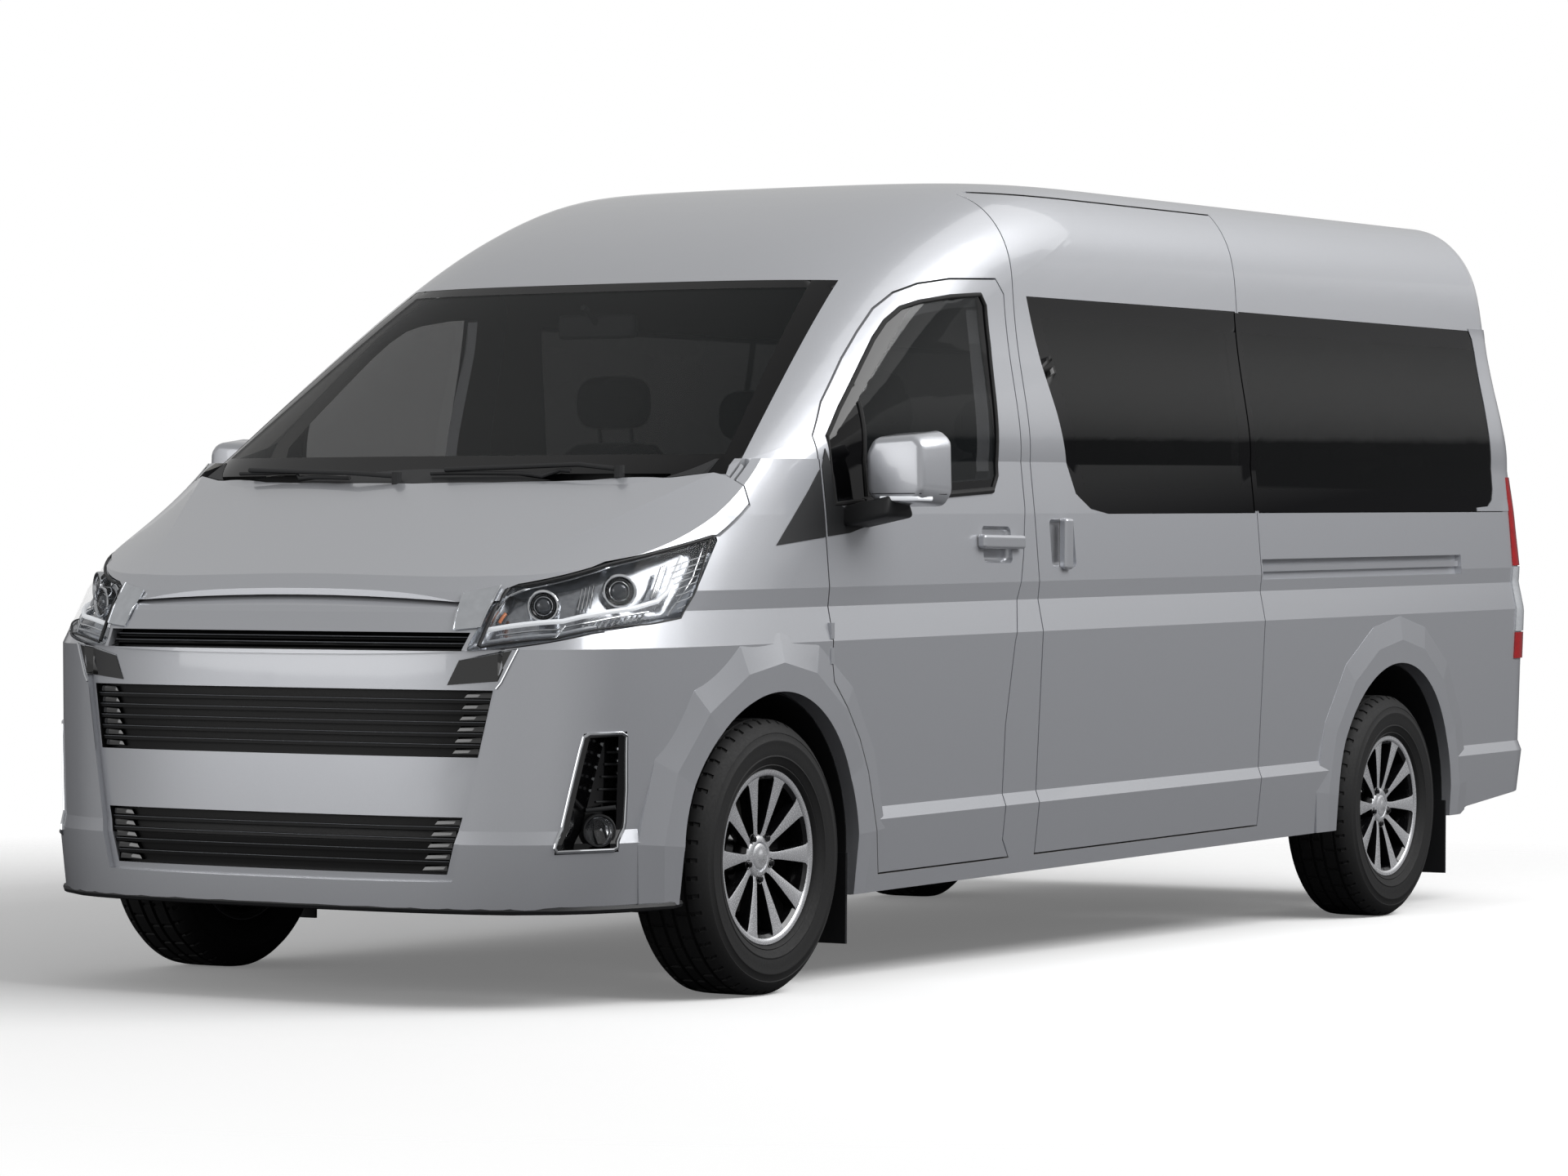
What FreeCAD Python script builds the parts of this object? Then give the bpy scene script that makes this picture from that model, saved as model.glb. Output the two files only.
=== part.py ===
import FreeCAD, Part
import math
import os

import Sketcher

os.makedirs("parts", exist_ok=True)

# Driving sizes of the minibus, in millimetres and degrees.
# +X points forward, +Y to the vehicle's left, +Z up, with z = 0 on the ground.
SIZES = [
    ("body_length", 5915), ("wheelbase", 3860), ("front_overhang", 890),
    ("rake", 0.0178), ("panel_wall", 45), ("roof_wall", 32), ("door_gap", 5), ("seat_gap", 0.3),
    ("sill_height", 232), ("ledge_height", 425), ("crease_height", 458), ("shoulder_height", 905),
    ("groove_low", 995), ("groove_high", 1045), ("belt_height", 1235), ("pillar_height", 1380),
    ("sill_half", 938), ("ledge_half", 959), ("crease_half", 947), ("shoulder_half", 968),
    ("groove_half", 950), ("upper_half", 955),
    ("belt_half", 938), ("pillar_half", 922), ("window_half", 895), ("cant_half", 862),
    ("band_half", 822), ("crown_half", 640), ("rear_corner", 170),
    ("bonnet_wall", 36), ("bonnet_nose", 2838),
    ("tyre_radius", 356), ("tyre_width", 235), ("rim_radius", 226), ("rim_width", 190),
    ("front_track", 1675), ("rear_track", 1670), ("spindle_radius", 30), ("kingpin_half", 800),
    ("front_arch", 412), ("rear_arch", 442), ("arch_rise", 20), ("flare_rise", 15),
    ("nose_recess", 15),
    ("floor_top", 575), ("floor_thick", 55),
    ("glass_thick", 5), ("glass_seat", 1),
    ("spoke_count", 10),
    ("seat_width", 440), ("seat_pitch", 760), ("row_count", 4),
    ("wheel_diameter", 380), ("steering_tilt", 28),
]

doc = FreeCAD.newDocument("minibus")
sheet = doc.addObject("Spreadsheet::Sheet", "Sizes")
for row, (alias, amount) in enumerate(SIZES, 1):
    sheet.set(f"A{row}", alias.replace("_", " "))
    sheet.set(f"B{row}", str(amount))
    sheet.setAlias(f"B{row}", alias)
doc.recompute()

NODES = []


def size(alias):
    return float(sheet.get(alias))


def vec(x, y, z):
    return FreeCAD.Vector(x, y, z)


FRONT_X = size("body_length") / 2
REAR_X = -FRONT_X
FRONT_AXLE = FRONT_X - size("front_overhang")
REAR_AXLE = FRONT_AXLE - size("wheelbase")
GAP = size("door_gap")
SEAT = size("seat_gap")


def level(x, z):
    """Ground height of a body line that is z high at the front axle."""
    return z + size("rake") * (FRONT_AXLE - x)


def keep(label, shape, placement=None):
    """Store a finished sub-part as an object with its own label and placement."""
    if shape.ShapeType == "Compound" and len(shape.Solids) == 1:
        shape = shape.Solids[0]
    feature = doc.addObject("Part::Feature", label)
    feature.Label = label
    feature.Shape = shape
    feature.Placement = placement or FreeCAD.Placement()
    NODES.append(feature)
    return feature


def solids_over(shape, least=1000.0):
    """The solids of a cut result, without crumbs."""
    parts = [solid for solid in shape.Solids if solid.Volume > least]
    return parts[0] if len(parts) == 1 else Part.makeCompound(parts)


def largest(shape):
    """The one solid that a panel is, without offcuts."""
    return max(shape.Solids, key=lambda solid: solid.Volume)


def mirrored(shape):
    return shape.mirror(vec(0, 0, 0), vec(0, 1, 0))


def box(x0, x1, y0, y1, z0, z1):
    return Part.makeBox(x1 - x0, y1 - y0, z1 - z0, vec(x0, y0, z0))


def side_prism(points, y0, y1, grow=0, raked=True):
    """A block whose side view is the outline through (x, z) points, grown or shrunk."""
    corners = [vec(x, y0, level(x, z) if raked else z) for x, z in points]
    outline = Part.makePolygon(corners + corners[:1])
    if grow:
        outline = outline.makeOffset2D(grow, 2)
    return Part.Face(outline).extrude(vec(0, y1 - y0, 0))


def front_prism(points, x0, x1):
    """A block whose front view is the outline through (y, z) points."""
    corners = [vec(x0, y, z) for y, z in points]
    outline = Part.makePolygon(corners + corners[:1])
    return Part.Face(outline).extrude(vec(x1 - x0, 0, 0))


def plan_prism(points, z0, z1):
    """A block whose plan is the outline through (x, y) points."""
    corners = [vec(x, y, z0) for x, y in points]
    outline = Part.makePolygon(corners + corners[:1])
    return Part.Face(outline).extrude(vec(0, 0, z1 - z0))


# Plan outlines of the body at one height: nose curve, straight sides, round rear corners.
def plan_wire(z, nose, bend, half, rear, corner):
    fullness = 0.8
    run = 0.9
    reach = bend + run * (nose - bend)

    def at(x, y):
        return vec(x, y, level(x, z))

    def nose_curve(side):
        curve = Part.BezierCurve()
        curve.setPoles([at(nose, 0), at(nose, side * fullness * half),
                        at(reach, side * half), at(bend, side * half)])
        return curve.toShape()

    def corner_arc(side):
        bow = corner * (1 - math.sqrt(0.5))
        return Part.Arc(at(rear + corner, side * half), at(rear + bow, side * (half - bow)),
                        at(rear, side * (half - corner))).toShape()

    def side_line(side):
        return Part.makeLine(at(bend, side * half), at(rear + corner, side * half))

    back = Part.makeLine(at(rear, half - corner), at(rear, corner - half))
    return Part.Wire([nose_curve(1), side_line(1), corner_arc(1), back,
                      corner_arc(-1), side_line(-1), nose_curve(-1)])


# Height, nose reach, start of the nose curve, half width and rear reach, for each plan outline.
LOWER = [
    (size("sill_height"), 2945, 2100, size("sill_half"), REAR_X + 8),
    (size("ledge_height"), FRONT_X, 2100, size("ledge_half"), REAR_X),
    (size("crease_height"), FRONT_X - 4, 2100, size("crease_half"), REAR_X + 4),
    (size("shoulder_height"), 2943, 2080, size("shoulder_half"), REAR_X + 22),
    (size("groove_low"), 2888, 2060, size("groove_half"), REAR_X + 27),
    (size("groove_high"), 2846, 2020, size("upper_half"), REAR_X + 31),
    (size("belt_height"), 2665, 1800, size("belt_half"), REAR_X + 45),
]
NOSE = [
    (size("belt_height"), 2665, 1800, size("belt_half"), 1200),
    (size("pillar_height"), 2430, 1700, size("pillar_half"), 1200),
]
PILLAR = [
    (size("belt_height"), 2440, 1850, size("belt_half"), REAR_X + 45),
    (size("pillar_height"), 2218, 1690, size("pillar_half"), REAR_X + 62),
]
UPPER = [
    PILLAR[1],
    (1620, 1850, 1260, size("window_half"), REAR_X + 98),
    (1880, 1450, 680, size("cant_half"), REAR_X + 142),
    (2060, 1080, 220, size("band_half") + 6, REAR_X + 185),
    (2140, 830, 120, 775, REAR_X + 225),
    (2188, 430, -250, size("crown_half"), REAR_X + 330),
    (2203, 60, -600, 430, REAR_X + 560),
]


# The roof's drop under the skin grows over this height, from nothing at the top of the windows.
ROOF_START = 1880
ROOF_BLEND = 200


def stack(rows, inset, ruled=True):
    """A solid through plan outlines, drawn in by a wall thickness."""
    wires = []
    for z, nose, bend, half, rear in rows:
        radius = max(size("rear_corner") - inset * 0.5, 40.0)
        radius = min(radius, half - inset - 20)
        wires.append(plan_wire(z, nose - inset, bend - inset, half - inset, rear + inset, radius))
    return Part.makeLoft(wires, True, ruled)


def bonnet_form(drop):
    """Everything below the bonnet's skin, lowered by a thickness."""
    stations = [(2960, 998, 453, 988, 967), (1500, 1733, 1131, 1638, 1143)]
    wires = []
    for x, middle, crease_y, crease_z, edge_z in stations:
        edge_y = 1250
        base = 100
        top = Part.Arc(vec(x, crease_y, crease_z - drop), vec(x, 0, middle - drop),
                       vec(x, -crease_y, crease_z - drop)).toShape()
        rest = Part.makePolygon([vec(x, -crease_y, crease_z - drop), vec(x, -edge_y, edge_z - drop),
                                 vec(x, -edge_y, base), vec(x, edge_y, base),
                                 vec(x, edge_y, edge_z - drop), vec(x, crease_y, crease_z - drop)])
        wires.append(Part.Wire([top] + rest.Edges))
    return Part.makeLoft(wires, True, True)


def body_form(inset, roof_drop, bonnet_drop):
    """The closed outer body, or its inside when drawn in."""
    low = stack(LOWER, inset)
    nose = stack(NOSE, inset)
    ahead = box(1560, 3100, -1240, 1240, 110, 1500)
    cabin_low = low.cut(ahead)
    nose_all = low.common(ahead).fuse(nose.common(ahead)).common(bonnet_form(bonnet_drop))
    upper_rows = []
    for z, *rest in UPPER:
        share = min(1, max(0, (z - ROOF_START) / ROOF_BLEND))
        upper_rows.append((z - roof_drop * share, *rest))
    return cabin_low.fuse([nose_all, stack(PILLAR, inset), stack(upper_rows, inset, False)])


def glasshouse(inset):
    """The part of the body above the belt, drawn in evenly."""
    return stack(PILLAR, inset).fuse(stack(UPPER, inset, False))


# Flares: a flat lip round each wheel opening and a ramp that runs out in the skin.
ARCH_CENTRES = [(FRONT_AXLE, size("tyre_radius") + size("arch_rise") * 0.7, size("front_arch")),
                (REAR_AXLE, size("tyre_radius") + size("arch_rise"), size("rear_arch"))]
FLARE_ANGLES = [-18, 4, 26, 48, 70, 90, 110, 132, 154, 176, 198]
FLARE_LIP = 74
FLARE_RAMP = 150


def skin_half(body, x, z):
    """Half width of the body at a point of its side view."""
    return body.common(Part.makeLine(vec(x, 500, z), vec(x, 1300, z))).BoundBox.YMax


def flare(body, centre_x, centre_z, radius):
    """Raised band round one wheel opening of the left side."""
    deep = 30
    sections = []
    for angle in FLARE_ANGLES:
        turn = math.radians(angle)
        along = math.cos(turn)
        rise = math.sin(turn)

        def at(reach, proud):
            x = centre_x + reach * along
            z = centre_z + reach * rise
            half = skin_half(body, x, max(z, level(x, size("sill_height")) + 10))
            return vec(x, half + proud, z)

        proud = size("flare_rise") * (0.55 + 0.45 * max(0, rise))
        inside = radius - 12
        sections.append(Part.makePolygon([
            at(inside, -deep), at(inside, proud), at(radius + FLARE_LIP, proud),
            at(radius + FLARE_RAMP, 0.5), at(radius + FLARE_RAMP, -deep), at(inside, -deep)]))
    band = Part.makeLoft(sections, True, True)
    low = size("sill_height") + 1
    above_sill = side_prism([(centre_x - 900, low), (centre_x + 900, low), (centre_x + 900, 1200),
                             (centre_x - 900, 1200)], 500, 1100)
    return band.common(above_sill)


plain_body = body_form(0, 0, 0)
flares = [flare(plain_body, *centre) for centre in ARCH_CENTRES]
outer = plain_body.fuse(flares + [mirrored(band) for band in flares])
inner = body_form(size("panel_wall"), size("roof_wall"), size("bonnet_wall"))
shell = outer.cut(inner)
glass_bed = glasshouse(size("glass_thick") + size("glass_seat") + SEAT)
glass_skin = glasshouse(size("glass_seat")).cut(glasshouse(size("glass_thick") + size("glass_seat")))

HALF = 1000

# Side outlines of the doors and windows, as (x, height at the front axle) points.
POST_X = 700
FOOT_X = 842
HINGE_X = 1800
FRONT_DOOR = [(1525, 282), (1573, 456), (1603, 557), (1655, 647), (1727, 727), (HINGE_X, 800),
              (HINGE_X, 1440), (1712, 1529), (1554, 1648), (1441, 1724), (1336, 1789), (1230, 1836),
              (1120, 1864), (976, 1882), (POST_X + 40, 1890), (POST_X, 1850), (POST_X, 1250),
              (POST_X + 28, 1120), (FOOT_X - 35, 880), (FOOT_X, 649), (FOOT_X, 330), (FOOT_X - 40, 282)]
DOOR_FRONT = 640
DOOR_REAR = -790
SLIDE_DOOR = [(DOOR_FRONT, 282), (DOOR_FRONT, 2146), (DOOR_REAR, 2146), (DOOR_REAR, 282)]
FRONT_WINDOW = [(1745, 1262), (875, 1303), (846, 1340), (828, 1531), (812, 1706), (812, 1815),
                (835, 1845), (996, 1834), (1148, 1815), (1236, 1796), (1323, 1757), (1401, 1708),
                (1489, 1643), (1657, 1516), (1745, 1440)]
BAND_FRONT = [(565, 1850), (516, 1662), (465, 1521), (425, 1378), (384, 1291), (299, 1247), (194, 1233)]
BAND_REAR = [(-2697, 1233), (-2785, 1288), (-2808, 1400), (-2808, 1531), (-2794, 1662),
             (-2750, 1800), (-2697, 1842)]
WINDOW_PART = DOOR_REAR - 2.5
SLIDE_WINDOW = BAND_FRONT + [(WINDOW_PART + 11, 1233), (WINDOW_PART + 11, 1850)]
REAR_WINDOW = [(WINDOW_PART - 11, 1233)] + BAND_REAR + [(WINDOW_PART - 11, 1850)]
WHOLE_WINDOW = BAND_FRONT + BAND_REAR


def windscreen_block(grow):
    low = 1338 - grow
    high = 1884 + grow
    return front_prism([(700 + grow, high), (848 + grow, low), (-848 - grow, low),
                        (-700 - grow, high)], 1050, 2600)


def glazed(panel, outline, frame=45):
    """Cut a rebate for a glass and the smaller hole inside it."""
    rebate = side_prism(outline, 500, HALF).cut(glass_bed)
    return panel.cut(rebate).cut(side_prism(outline, 500, HALF, -frame))


def side_glass(outline):
    return solids_over(glass_skin.common(side_prism(outline, 500, HALF, -1)))


# Regions that part the shell where the real panels meet.
arch_front = Part.makeCylinder(size("front_arch"), 2400,
                               vec(FRONT_AXLE, -1200, size("tyre_radius") + size("arch_rise") * 0.7),
                               vec(0, 1, 0))
arch_rear = Part.makeCylinder(size("rear_arch"), 2400,
                              vec(REAR_AXLE, -1200, size("tyre_radius") + size("arch_rise")),
                              vec(0, 1, 0))
below_front = box(FRONT_AXLE - size("front_arch"), FRONT_AXLE + size("front_arch"), -1200, 1200, 0, 370)
below_rear = box(REAR_AXLE - size("rear_arch"), REAR_AXLE + size("rear_arch"), -1200, 1200, 0, 375)
arches = arch_front.fuse([arch_rear, below_front, below_rear])

COWL_LINE = [(2332, 0), (2318, 250), (2278, 520), (2215, 730), (2150, 850), (2128, 990)]


def ahead_of_cowl(grow):
    line = [(x - grow, y) for x, y in COWL_LINE]
    other = [(x, -y) for x, y in line[:0:-1]]
    return plan_prism([(3100, -990)] + other + line + [(3100, 990)], 600, 1700)


bonnet = outer.common(ahead_of_cowl(0)).cut(bonnet_form(size("bonnet_wall")))
bonnet = solids_over(bonnet.common(box(1900, size("bonnet_nose"), -HALF, HALF, 900, 1700)))
slope_allowance = 1.6
bonnet_room = outer.common(ahead_of_cowl(GAP)).cut(
    bonnet_form(size("bonnet_wall") + GAP * slope_allowance))
bonnet_room = bonnet_room.common(box(1900, 3100, -HALF, HALF, 900, 1700))

# The bonnet's seam above each lamp is straight in the side view.
LAMP_SEAM = [(2840, 1000), (2800, 1044), (2764, 1066), (2607, 1120), (2464, 1152), (2304, 1185), (2250, 1185)]
LAMP_INNER = 600


def below_seam(drop):
    line = [(x, z - drop) for x, z in LAMP_SEAM]
    block = side_prism(line + [(2250, 900), (2840, 900)], LAMP_INNER + drop, HALF)
    return block.fuse(mirrored(block))


bonnet = solids_over(bonnet.cut(below_seam(0)))
bonnet_room = bonnet_room.cut(below_seam(GAP))

lamp_low = [(2990, 880), (2886, 905), (2728, 945), (2474, 978)]
lamp_zone = side_prism(lamp_low + [(2290, 1170), (2290, 1400), (2990, 1400)], -HALF, HALF)
lamp_side = front_prism([(565, 860), (565, 905), (606, 1080), (606, 1300), (HALF, 1300), (HALF, 860)],
                        2200, 3000)
lamp_sides = lamp_side.fuse(mirrored(lamp_side))
bumper_zone = side_prism([(3000, 872), (2886, 902), (2728, 942), (2474, 975), (2462, 773), (2357, 647),
                          (2300, 560), (2300, 262), (3000, 262)], -HALF, HALF)
crown_zone = side_prism([(2990, 880), (2886, 905), (2728, 945), (2660, 960), (2660, 1200),
                         (2990, 1200)], -HALF, HALF)
nose_shell = shell.cut(bonnet_room).common(box(1560, 3100, -HALF, HALF, 200, 1460))

headlamps = nose_shell.common(lamp_zone).common(lamp_sides)
front_bumper = nose_shell.common(bumper_zone).cut(arches)
upper_panel = nose_shell.common(crown_zone).cut(lamp_sides)
fender_zone = side_prism([(1805, 262), (1805, 1440), (2150, 1350), (2700, 1350), (2700, 262)], 300, HALF)
fender = nose_shell.common(fender_zone).cut(arches)
for piece in (side_prism(lamp_low + [(2290, 1170), (2290, 1400), (2990, 1400)], 0, HALF),
              bumper_zone, windscreen_block(0)):
    fender = fender.cut(piece)
fender = fender.cut(ahead_of_cowl(GAP).common(box(2400, 3100, 0, 600, 600, 1700)))
fender = largest(fender.cut(box(1900, 2400, 0, 800, 1100, 1500)))

# Openings of the nose: a slot above the bar, a wide grille and a low grille.


def nose_block(points, x0=2400, x1=3100, grow=0):
    """A block whose front view is the outline through (y, height at the front axle) points."""
    corners = [vec(x0, y, level(FRONT_X, z)) for y, z in points]
    outline = Part.makePolygon(corners + corners[:1])
    if grow:
        outline = outline.makeOffset2D(grow, 2)
    return Part.Face(outline).extrude(vec(x1 - x0, 0, 0))


def opening(half_low, z_low, half_high, z_high):
    return [(half_low, z_low), (half_high, z_high), (-half_high, z_high), (-half_low, z_low)]


SLOT = opening(552, 902, 560, 948)
WIDE = opening(588, 640, 622, 806)
LOW = opening(513, 350, 552, 492)
OPENINGS = [(SLOT, 2), (WIDE, 5), (LOW, 4)]
FOG = [(770, 403), (872, 409), (880, 706), (818, 701)]


def nose_ring(outside, inside):
    """The nose wall between two depths below the skin."""
    ring = stack(LOWER, outside).cut(stack(LOWER, inside))
    return ring.common(box(2380, 3100, -HALF, HALF, 262, 1000))


def grille():
    backing = nose_ring(37, 43)
    depth = nose_ring(20, 38)
    bar = 9
    pieces = []
    for outline, count in OPENINGS:
        frame = nose_block(outline, grow=-SEAT)
        parts = backing.common(frame)
        z_low = outline[0][1]
        z_high = outline[1][1]
        pitch = (z_high - z_low) / (count + 1)
        for number in range(1, count + 1):
            z_bar = level(FRONT_X, z_low + number * pitch)
            slat = depth.common(box(2400, 3100, -HALF, HALF, z_bar - bar / 2, z_bar + bar / 2))
            parts = parts.fuse(slat.common(frame))
        pieces.append(parts)
    return Part.makeCompound([solid for piece in pieces for solid in piece.Solids])


def fog_lamp():
    backing = nose_ring(30, 42).common(nose_block(FOG, grow=-SEAT))
    surround = nose_ring(0.5, 31).common(nose_block(FOG, grow=-SEAT).cut(nose_block(FOG, grow=-11)))
    lens = Part.makeCylinder(36, 60, vec(2655, 830, level(2700, 458)), vec(1, 0, 0))
    lens = lens.common(stack(LOWER, 14))
    return backing.fuse([surround, lens])


for outline, _ in OPENINGS:
    front_bumper = front_bumper.cut(nose_block(outline))
    upper_panel = upper_panel.cut(nose_block(outline))


def nose_recess():
    """The set-back middle of the bumper between its two slanted shoulders, with sloping edges."""
    sections = []
    for x, grow in ((2600, -20), (3000, 12)):
        corners = [vec(x, side * (half + grow), level(FRONT_X, z - (grow if z < 500 else 0)))
                   for half, z, side in ((530, 338, 1), (668, 960, 1), (668, 960, -1), (530, 338, -1))]
        sections.append(Part.makePolygon(corners + corners[:1]))
    wedge = Part.makeLoft(sections, True, True)
    return nose_ring(-2, size("nose_recess")).common(wedge)


front_bumper = front_bumper.cut(nose_recess())
fog_hole = nose_block(FOG).common(box(2400, 3100, 0, HALF, 200, 1000))
front_bumper = front_bumper.cut(fog_hole).cut(mirrored(fog_hole))
fog = fog_lamp()

# Hinges: the bonnet turns on two pins across notches of the fenders, the front doors on pins in their gap.
BONNET_PIN = (2106, 1330)
PIN_RADIUS = 5
PIN_LENGTH = 54
ARM_HALF = 866
ARM_THICK = 8
ARM_END = 9
ROD_RADIUS = 2.4


def bonnet_arm(y):
    """A lug at the bonnet's rear corner, flush with the skin and bored for its pin."""
    pin_x, pin_z = BONNET_PIN
    arm = side_prism([(pin_x - ARM_END, pin_z - ARM_END), (pin_x - ARM_END, 1400), (2190, 1400), (2190, 1300),
                      (2160, 1300)], y - ARM_THICK / 2, y + ARM_THICK / 2, raked=False)
    bore = Part.makeCylinder(PIN_RADIUS + SEAT, 60, vec(pin_x, y - 30, pin_z), vec(0, 1, 0))
    return arm.common(outer).cut(bore)


def fender_hinges():
    pin_x, pin_z = BONNET_PIN
    pin = Part.makeCylinder(PIN_RADIUS, PIN_LENGTH, vec(pin_x, ARM_HALF - 16, pin_z), vec(0, 1, 0))
    pieces = [pin.common(outer)]
    for z in (850, 915):
        pieces.append(Part.makeCylinder(ROD_RADIUS, 42, vec(DOOR_AXIS_X, DOOR_AXIS_Y, z)))
        pieces.append(box(DOOR_AXIS_X + 2.2, DOOR_AXIS_X + 14, DOOR_AXIS_Y - 12, DOOR_AXIS_Y + 1.5,
                          z, z + 42))
    return pieces


DOOR_AXIS_X = HINGE_X + GAP - ROD_RADIUS + 0.1
DOOR_AXIS_Y = size("shoulder_half") + 0.5
notch_half = ARM_THICK / 2 + GAP
arm_room = box(2067, 2180, ARM_HALF - notch_half, ARM_HALF + notch_half, 1285, 1400)
fender = fender.cut(arm_room).fuse(fender_hinges())
bonnet = bonnet.fuse([bonnet_arm(ARM_HALF), bonnet_arm(-ARM_HALF)])

keep("bonnet", bonnet)
keep("headlamps", solids_over(headlamps))
keep("front_bumper", largest(front_bumper))
keep("upper_panel", largest(upper_panel))
keep("front_fenders", Part.makeCompound([fender, mirrored(fender)]))
keep("grille", grille())
keep("fog_lamps", Part.makeCompound(fog.Solids + mirrored(fog).Solids))

# Cabin panels.
TAIL_HALF = 792
TAIL_LOW = 640
TAIL_HIGH = 2040


def tail_room(grow):
    low = TAIL_LOW - grow
    high = TAIL_HIGH + grow
    outline = [(-3000, low), (-3000, high), (-2600, high), (-2600, low)]
    return side_prism(outline, -TAIL_HALF - grow, TAIL_HALF + grow)


rear_bumper_zone = side_prism([(-3000, 200), (-3000, 716), (-2862, 716), (-2862, 536), (-2225, 520),
                               (-2225, 200)], -HALF, HALF)
rear_lift = side_prism([(-3010, 200), (-3010, 300), (-2400, 255), (-2230, 200)], -HALF, HALF)
tail_lamp_zone = side_prism([(-3000, 722), (-3000, 1396), (-2928, 1396), (-2862, 722)],
                            TAIL_HALF + GAP, HALF)
roof_zone = side_prism([(-3000, 2151), (DOOR_FRONT + GAP, 2151), (1300, 1897), (1345, 1884),
                        (1600, 1884), (1600, 2400), (-3000, 2400)], -HALF, HALF)
header_zone = box(DOOR_FRONT + GAP, 1600, -700, 700, 1880, 2400)
tail_header = side_prism([(-3000, TAIL_HIGH + GAP), (-3000, 2200), (-2600, 2200), (-2600, TAIL_HIGH + GAP)],
                         -TAIL_HALF, TAIL_HALF)
roof_zone = roof_zone.fuse([header_zone, tail_header])
cabin_shell = shell.cut(box(2152, 3100, -HALF, HALF, 200, 1700)).cut(windscreen_block(0))
roof = largest(cabin_shell.common(roof_zone).cut(tail_room(GAP)))
side = cabin_shell.common(box(-3000, 2200, 300, HALF, 200, 2400)).cut(roof_zone).cut(fender_zone)
side = side.cut(arches).cut(side_prism(FRONT_DOOR, 300, HALF, GAP)).cut(tail_room(GAP))
side = side.cut(rear_bumper_zone).cut(tail_lamp_zone).cut(arm_room)
left_side = side.cut(side_prism(SLIDE_DOOR, 680, HALF, GAP))
left_side = largest(glazed(left_side, REAR_WINDOW))
right_side = mirrored(largest(glazed(side, WHOLE_WINDOW)))
front_door = shell.common(side_prism(FRONT_DOOR, 300, HALF)).cut(arches)
front_door = largest(glazed(front_door, FRONT_WINDOW, 32))
slide_door = largest(glazed(shell.common(side_prism(SLIDE_DOOR, 680, HALF)), SLIDE_WINDOW))


def soft_box(x0, x1, y0, y1, z0, z1, radius):
    block = box(x0, x1, y0, y1, z0, z1)
    return block.makeFillet(radius, block.Edges)


def handled(door, dish, grip):
    """Sink a dish in a door's skin and bridge it with a grip; both are (x0, x1, z0, z1)."""
    dish_deep = 20
    grip_proud = 24
    x0, x1, z0, z1 = dish
    half = skin_half(outer, (x0 + x1) / 2, level(x0, (z0 + z1) / 2))
    door = door.cut(soft_box(x0, x1, half - dish_deep, half + 60, level(x0, z0), level(x0, z1), 16))
    x0, x1, z0, z1 = grip
    return door.fuse(soft_box(x0, x1, half - 4, half + grip_proud, level(x0, z0), level(x0, z1), 9))


front_door = handled(front_door, (792, 957, 1097, 1199), (747, 987, 1136, 1174))
slide_door = handled(slide_door, (414, 560, 1081, 1216), (462, 508, 1076, 1221))

# The sliding door's rail: a sunk channel with a bar along it.
RAIL_FRONT = DOOR_REAR - 12
RAIL_REAR = -2316


def rail_strip(low, high, inside, outside):
    """A strip along the rail between two heights and two half widths."""
    outline = [(RAIL_FRONT, low), (RAIL_FRONT, high), (RAIL_REAR, high), (RAIL_REAR, low)]
    return side_prism(outline, size("belt_half") + inside, size("belt_half") + outside)


rail_channel = rail_strip(1030, 1092, -6, 62)
rail_bar = rail_strip(1054, 1072, -10, 4)
left_side = left_side.cut(rail_channel).fuse(rail_bar.common(outer))
tail_window = [(670, 1262), (600, 1830), (-600, 1830), (-670, 1262)]


def tail_block(grow):
    corners = [vec(-3000, y, level(REAR_X, z)) for y, z in tail_window]
    outline = Part.makePolygon(corners + corners[:1])
    if grow:
        outline = outline.makeOffset2D(grow, 2)
    return Part.Face(outline).extrude(vec(400, 0, 0))


tailgate = shell.common(tail_room(0)).cut(tail_block(0).cut(glass_bed)).cut(tail_block(-45))
plate_half = 270
plate_room = side_prism([(REAR_X - 10, 860), (REAR_X - 10, 1025), (REAR_X + 60, 1025), (REAR_X + 45, 860)],
                        -plate_half, plate_half)
tailgate = largest(tailgate).cut(plate_room)
rear_bumper = shell.common(rear_bumper_zone).cut(arches).cut(tail_room(GAP)).cut(rear_lift)
tail_lamp = largest(shell.common(tail_lamp_zone))
tail_axis_x = REAR_X + 178.5
tail_axis_z = level(tail_axis_x, TAIL_HIGH + GAP) - ROD_RADIUS + 0.1
for y in (-480, 420):
    roof = roof.fuse(Part.makeCylinder(ROD_RADIUS, 60, vec(tail_axis_x, y, tail_axis_z), vec(0, 1, 0)))
keep("roof", roof)
keep("left_side", left_side)
keep("right_side", right_side)
keep("front_left_door", front_door)
keep("front_right_door", mirrored(front_door))
keep("sliding_door", slide_door)
keep("tailgate", largest(tailgate))
keep("rear_bumper", largest(rear_bumper))
keep("tail_lamps", Part.makeCompound([tail_lamp, mirrored(tail_lamp)]))
keep("windscreen", largest(glass_skin.common(windscreen_block(-1))))
door_glass = side_glass(FRONT_WINDOW)
keep("front_left_glass", door_glass)
keep("front_right_glass", mirrored(door_glass))
keep("sliding_door_glass", side_glass(SLIDE_WINDOW))
keep("side_glass", Part.makeCompound(side_glass(REAR_WINDOW).Solids
                                     + mirrored(side_glass(WHOLE_WINDOW)).Solids))
keep("tailgate_glass", largest(glass_skin.common(tail_block(-1))))


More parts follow.
